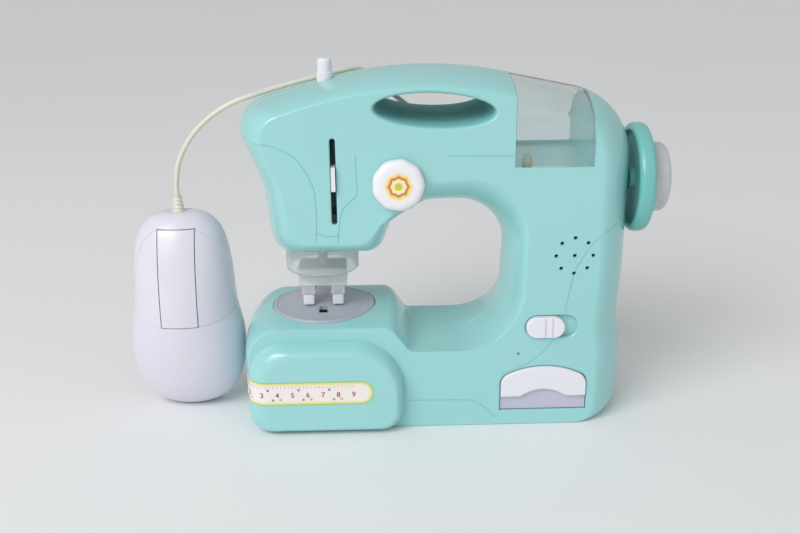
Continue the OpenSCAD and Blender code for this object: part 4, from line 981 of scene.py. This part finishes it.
# Coated paper: flat ink under a thin gloss, with a faint fibre
def coatedPaper(name, code):
    deep = code[:5] + format(max(0, int(code[5:], 16) - 6), "02x")
    return surface("coatedPaper" + name, code, deep, flow=5, rough=(0.3, 0.42))


# Points past the block's corner are laid round it, so x counts along the label
def drape(piece, lift, far=150):
    shape = BVHTree.FromObject(frontHousing, bpy.context.evaluated_depsgraph_get())
    cornerX, cornerY = scaleLabel["corner"]
    for point in piece.data.vertices:
        past = max(0, cornerX - point.co.x / mm) / scaleLabel["cornerRadius"]
        aim = Vector((sin(past), cos(past), 0))
        middle = Vector((max(point.co.x, cornerX * mm), cornerY * mm, point.co.z))
        hit = shape.ray_cast(middle - aim * far * mm, aim)
        point.co = hit[0] + hit[1] * lift * mm
    modify(piece, "SOLIDIFY", thickness=scaleLabel["sheet"] * mm, offset=-1)
    return dress(piece, "machine", "teal_shell")


# A row of small marks as a node tree: ticks are thin bars, dots are discs
def markRow(name, count, step, mark, material):
    tree, given = startTree("markRow", {"Count": "Int", "Step": "Float", "Wide": "Float", "Tall": "Float",
                                        "Sides": "Int"})
    offset = addNode(tree, "ShaderNodeCombineXYZ", {"X": given["Step"]})
    line = addNode(tree, "GeometryNodeMeshLine", {"Count": given["Count"], "Offset": offset[0]})
    disc = addNode(tree, "GeometryNodeMeshCircle", {"Vertices": given["Sides"], "Radius": 1.0}, fill_type="NGON")
    size = addNode(tree, "ShaderNodeCombineXYZ", {"X": given["Wide"], "Y": given["Tall"], "Z": 1.0})
    spread = addNode(tree, "GeometryNodeInstanceOnPoints", {"Points": line["Mesh"], "Scale": size[0],
                                                            "Instance": disc["Mesh"]})
    endTree(tree, spread["Instances"], material)
    piece = makePiece(name, [], [], material)
    wide, tall, sides = mark
    runTree(piece, tree, {"Count": count, "Step": step * mm, "Wide": wide * mm, "Tall": tall * mm, "Sides": sides})
    return settle(piece)


def layRow(row, x, z):
    standUp(row.data, (x, 0, z))
    return drape(row, scaleLabel["inkLift"])


def buildScale(facts):
    columns, rows, first, step, z = (facts[key] for key in ("columns", "rows", "first", "step", "z"))
    for name, (inset, code, lift) in facts["layers"].items():
        half = facts["height"] / 2 - inset
        left, right = facts["left"] + inset * facts["endShare"], facts["right"] - inset
        points = []
        for i in range(columns + 1):
            x = left + (right - left) * i / columns
            reach = half if x < right - half else sqrt(max(half * half - (x - right + half) ** 2, 1e-4))
            points += [(x, 0, z + reach * (2 * j / rows - 1)) for j in range(rows + 1)]
        corners = [i * (rows + 1) + j for i in range(columns) for j in range(rows)]
        faces = [(a, a + rows + 1, a + rows + 2, a + 1) for a in corners]
        drape(makePiece("scale" + name, points, faces, coatedPaper(name, code)), lift)
    ink = coatedPaper("RedInk", facts["ink"])
    text = bpy.data.curves.new("scaleDigits", "FONT")
    text.size, text.offset = facts["digitSize"] * mm, facts["bold"] * mm
    text.align_x = text.align_y = "CENTER"
    shape = bmesh.new()
    for k, digit in enumerate(facts["digits"]):
        text.body = digit
        holder = addObject("digit", text)
        mesh = bake(holder)
        bpy.data.objects.remove(holder)
        standUp(mesh, (first + k * step, 0, z + facts["digitRise"]))
        shape.from_mesh(mesh)
        bpy.data.meshes.remove(mesh)
    digits = makePiece("scaleDigits", [], [], ink)
    shape.to_mesh(digits.data)
    shape.free()
    drape(digits, facts["inkLift"])
    layRow(markRow("scaleTicks", facts["tickCount"], step / 4, facts["tick"], ink), first, z + facts["tickRise"])
    for name, (code, start, rise) in facts["dots"].items():
        paper = coatedPaper("Dots" + name, code)
        layRow(markRow("scaleDots" + name, facts["dotCount"], step * 2, facts["dot"], paper), first + start, z + rise)


buildScale(scaleLabel)
print("scale laid on")


# CAD nodes that keep their shape take a finish here
finishes = {
    turquoiseAbs: "light_chamber battery_door", deepTealAbs: "battery_box", lampEpoxy: "lamp",
    blackAbs: "speaker switch_body pedal_switch", boardLacquer: "circuit_board", cellJacket: "battery_cells",
    galvanisedCan: "motor", leadPvc: "cord_gland", greyRubber: "pedal_pads", turnedBrass: "motor_pinion",
    platedSteel: "door_screw housing_screws main_shaft motor_shaft needle key_pin",
    naturalNylon: "main_gear crank_disc", whiteAbs: "needle_bar needle_yoke take_up_arm dial_pin",
}
for finish, nodeNames in finishes.items():
    for nodeName in nodeNames.split():
        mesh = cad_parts[nodeName].data
        mesh.materials.clear()
        mesh.materials.append(finish)
print("finishes set")


# Floor, backdrop light and lamps; a softbox has power, place and size, in m
studio = {"floor": ("#f3f4f5", "#f0f1f2"), "floorHalf": 9000, "floorDrop": -0.3, "world": 0.46, "seen": 0.62,
          "sun": 0.95, "sunAngle": 50, "sunTurn": (46, -28, -12), "aim": (0, 0, 0.1),
          "boxes": {"keySoftbox": (5.0, (-0.7, -0.8, 0.95), (0.7, 0.5)),
                    "fillSoftbox": (0.4, (0.9, -0.7, 0.6), (0.4, 0.7))}}


# Pale matt paper under the toy, with a slow drift of tint
def buildFloor(facts):
    material, tree, place = startMaterial("paleStudioFloor")
    tint = mixTint(tree, noise(tree, place, 3.0, 1.0), *facts["floor"])
    endMaterial(tree, {"Base Color": tint, "Roughness": 0.7})
    half, drop = facts["floorHalf"], facts["floorDrop"]
    corners = [(-half, -half, drop), (half, -half, drop), (half, half, drop), (-half, half, drop)]
    floor = makePiece("studioFloor", corners, [(0, 1, 2, 3)], material)


# An even white room: one level as light, another where it is seen directly or through the clear pieces
def buildWorld(facts):
    world = bpy.data.worlds.new("studioWorld")
    world.use_nodes = True
    tree = world.node_tree
    tree.nodes.clear()
    ray = addNode(tree, "ShaderNodeLightPath")
    seen = addNode(tree, "ShaderNodeMath", {0: ray["Is Camera Ray"], 1: ray["Is Transmission Ray"]},
                   operation="MAXIMUM")
    level = addNode(tree, "ShaderNodeMapRange",
                    {"Value": seen[0], "To Min": facts["world"], "To Max": facts["seen"]})
    sky = addNode(tree, "ShaderNodeBackground", {"Color": (1, 1, 1, 1), "Strength": level["Result"]})
    addNode(tree, "ShaderNodeOutputWorld", {"Surface": sky["Background"]})
    scene.world = world


def buildLamps(facts):
    sun = bpy.data.lights.new("softSun", "SUN")
    sun.energy = facts["sun"]
    sun.angle = radians(facts["sunAngle"])
    addObject("softSun", sun).rotation_euler = [radians(angle) for angle in facts["sunTurn"]]
    for name, (power, place, size) in facts["boxes"].items():
        box = bpy.data.lights.new(name, "AREA")
        box.shape = "RECTANGLE"
        box.size, box.size_y = size
        box.energy = power
        holder = addObject(name, box)
        holder.location = place
        holder.rotation_euler = (Vector(facts["aim"]) - Vector(place)).to_track_quat("-Z", "Y").to_euler()


buildFloor(studio)
buildWorld(studio)
buildLamps(studio)
print("studio lit")
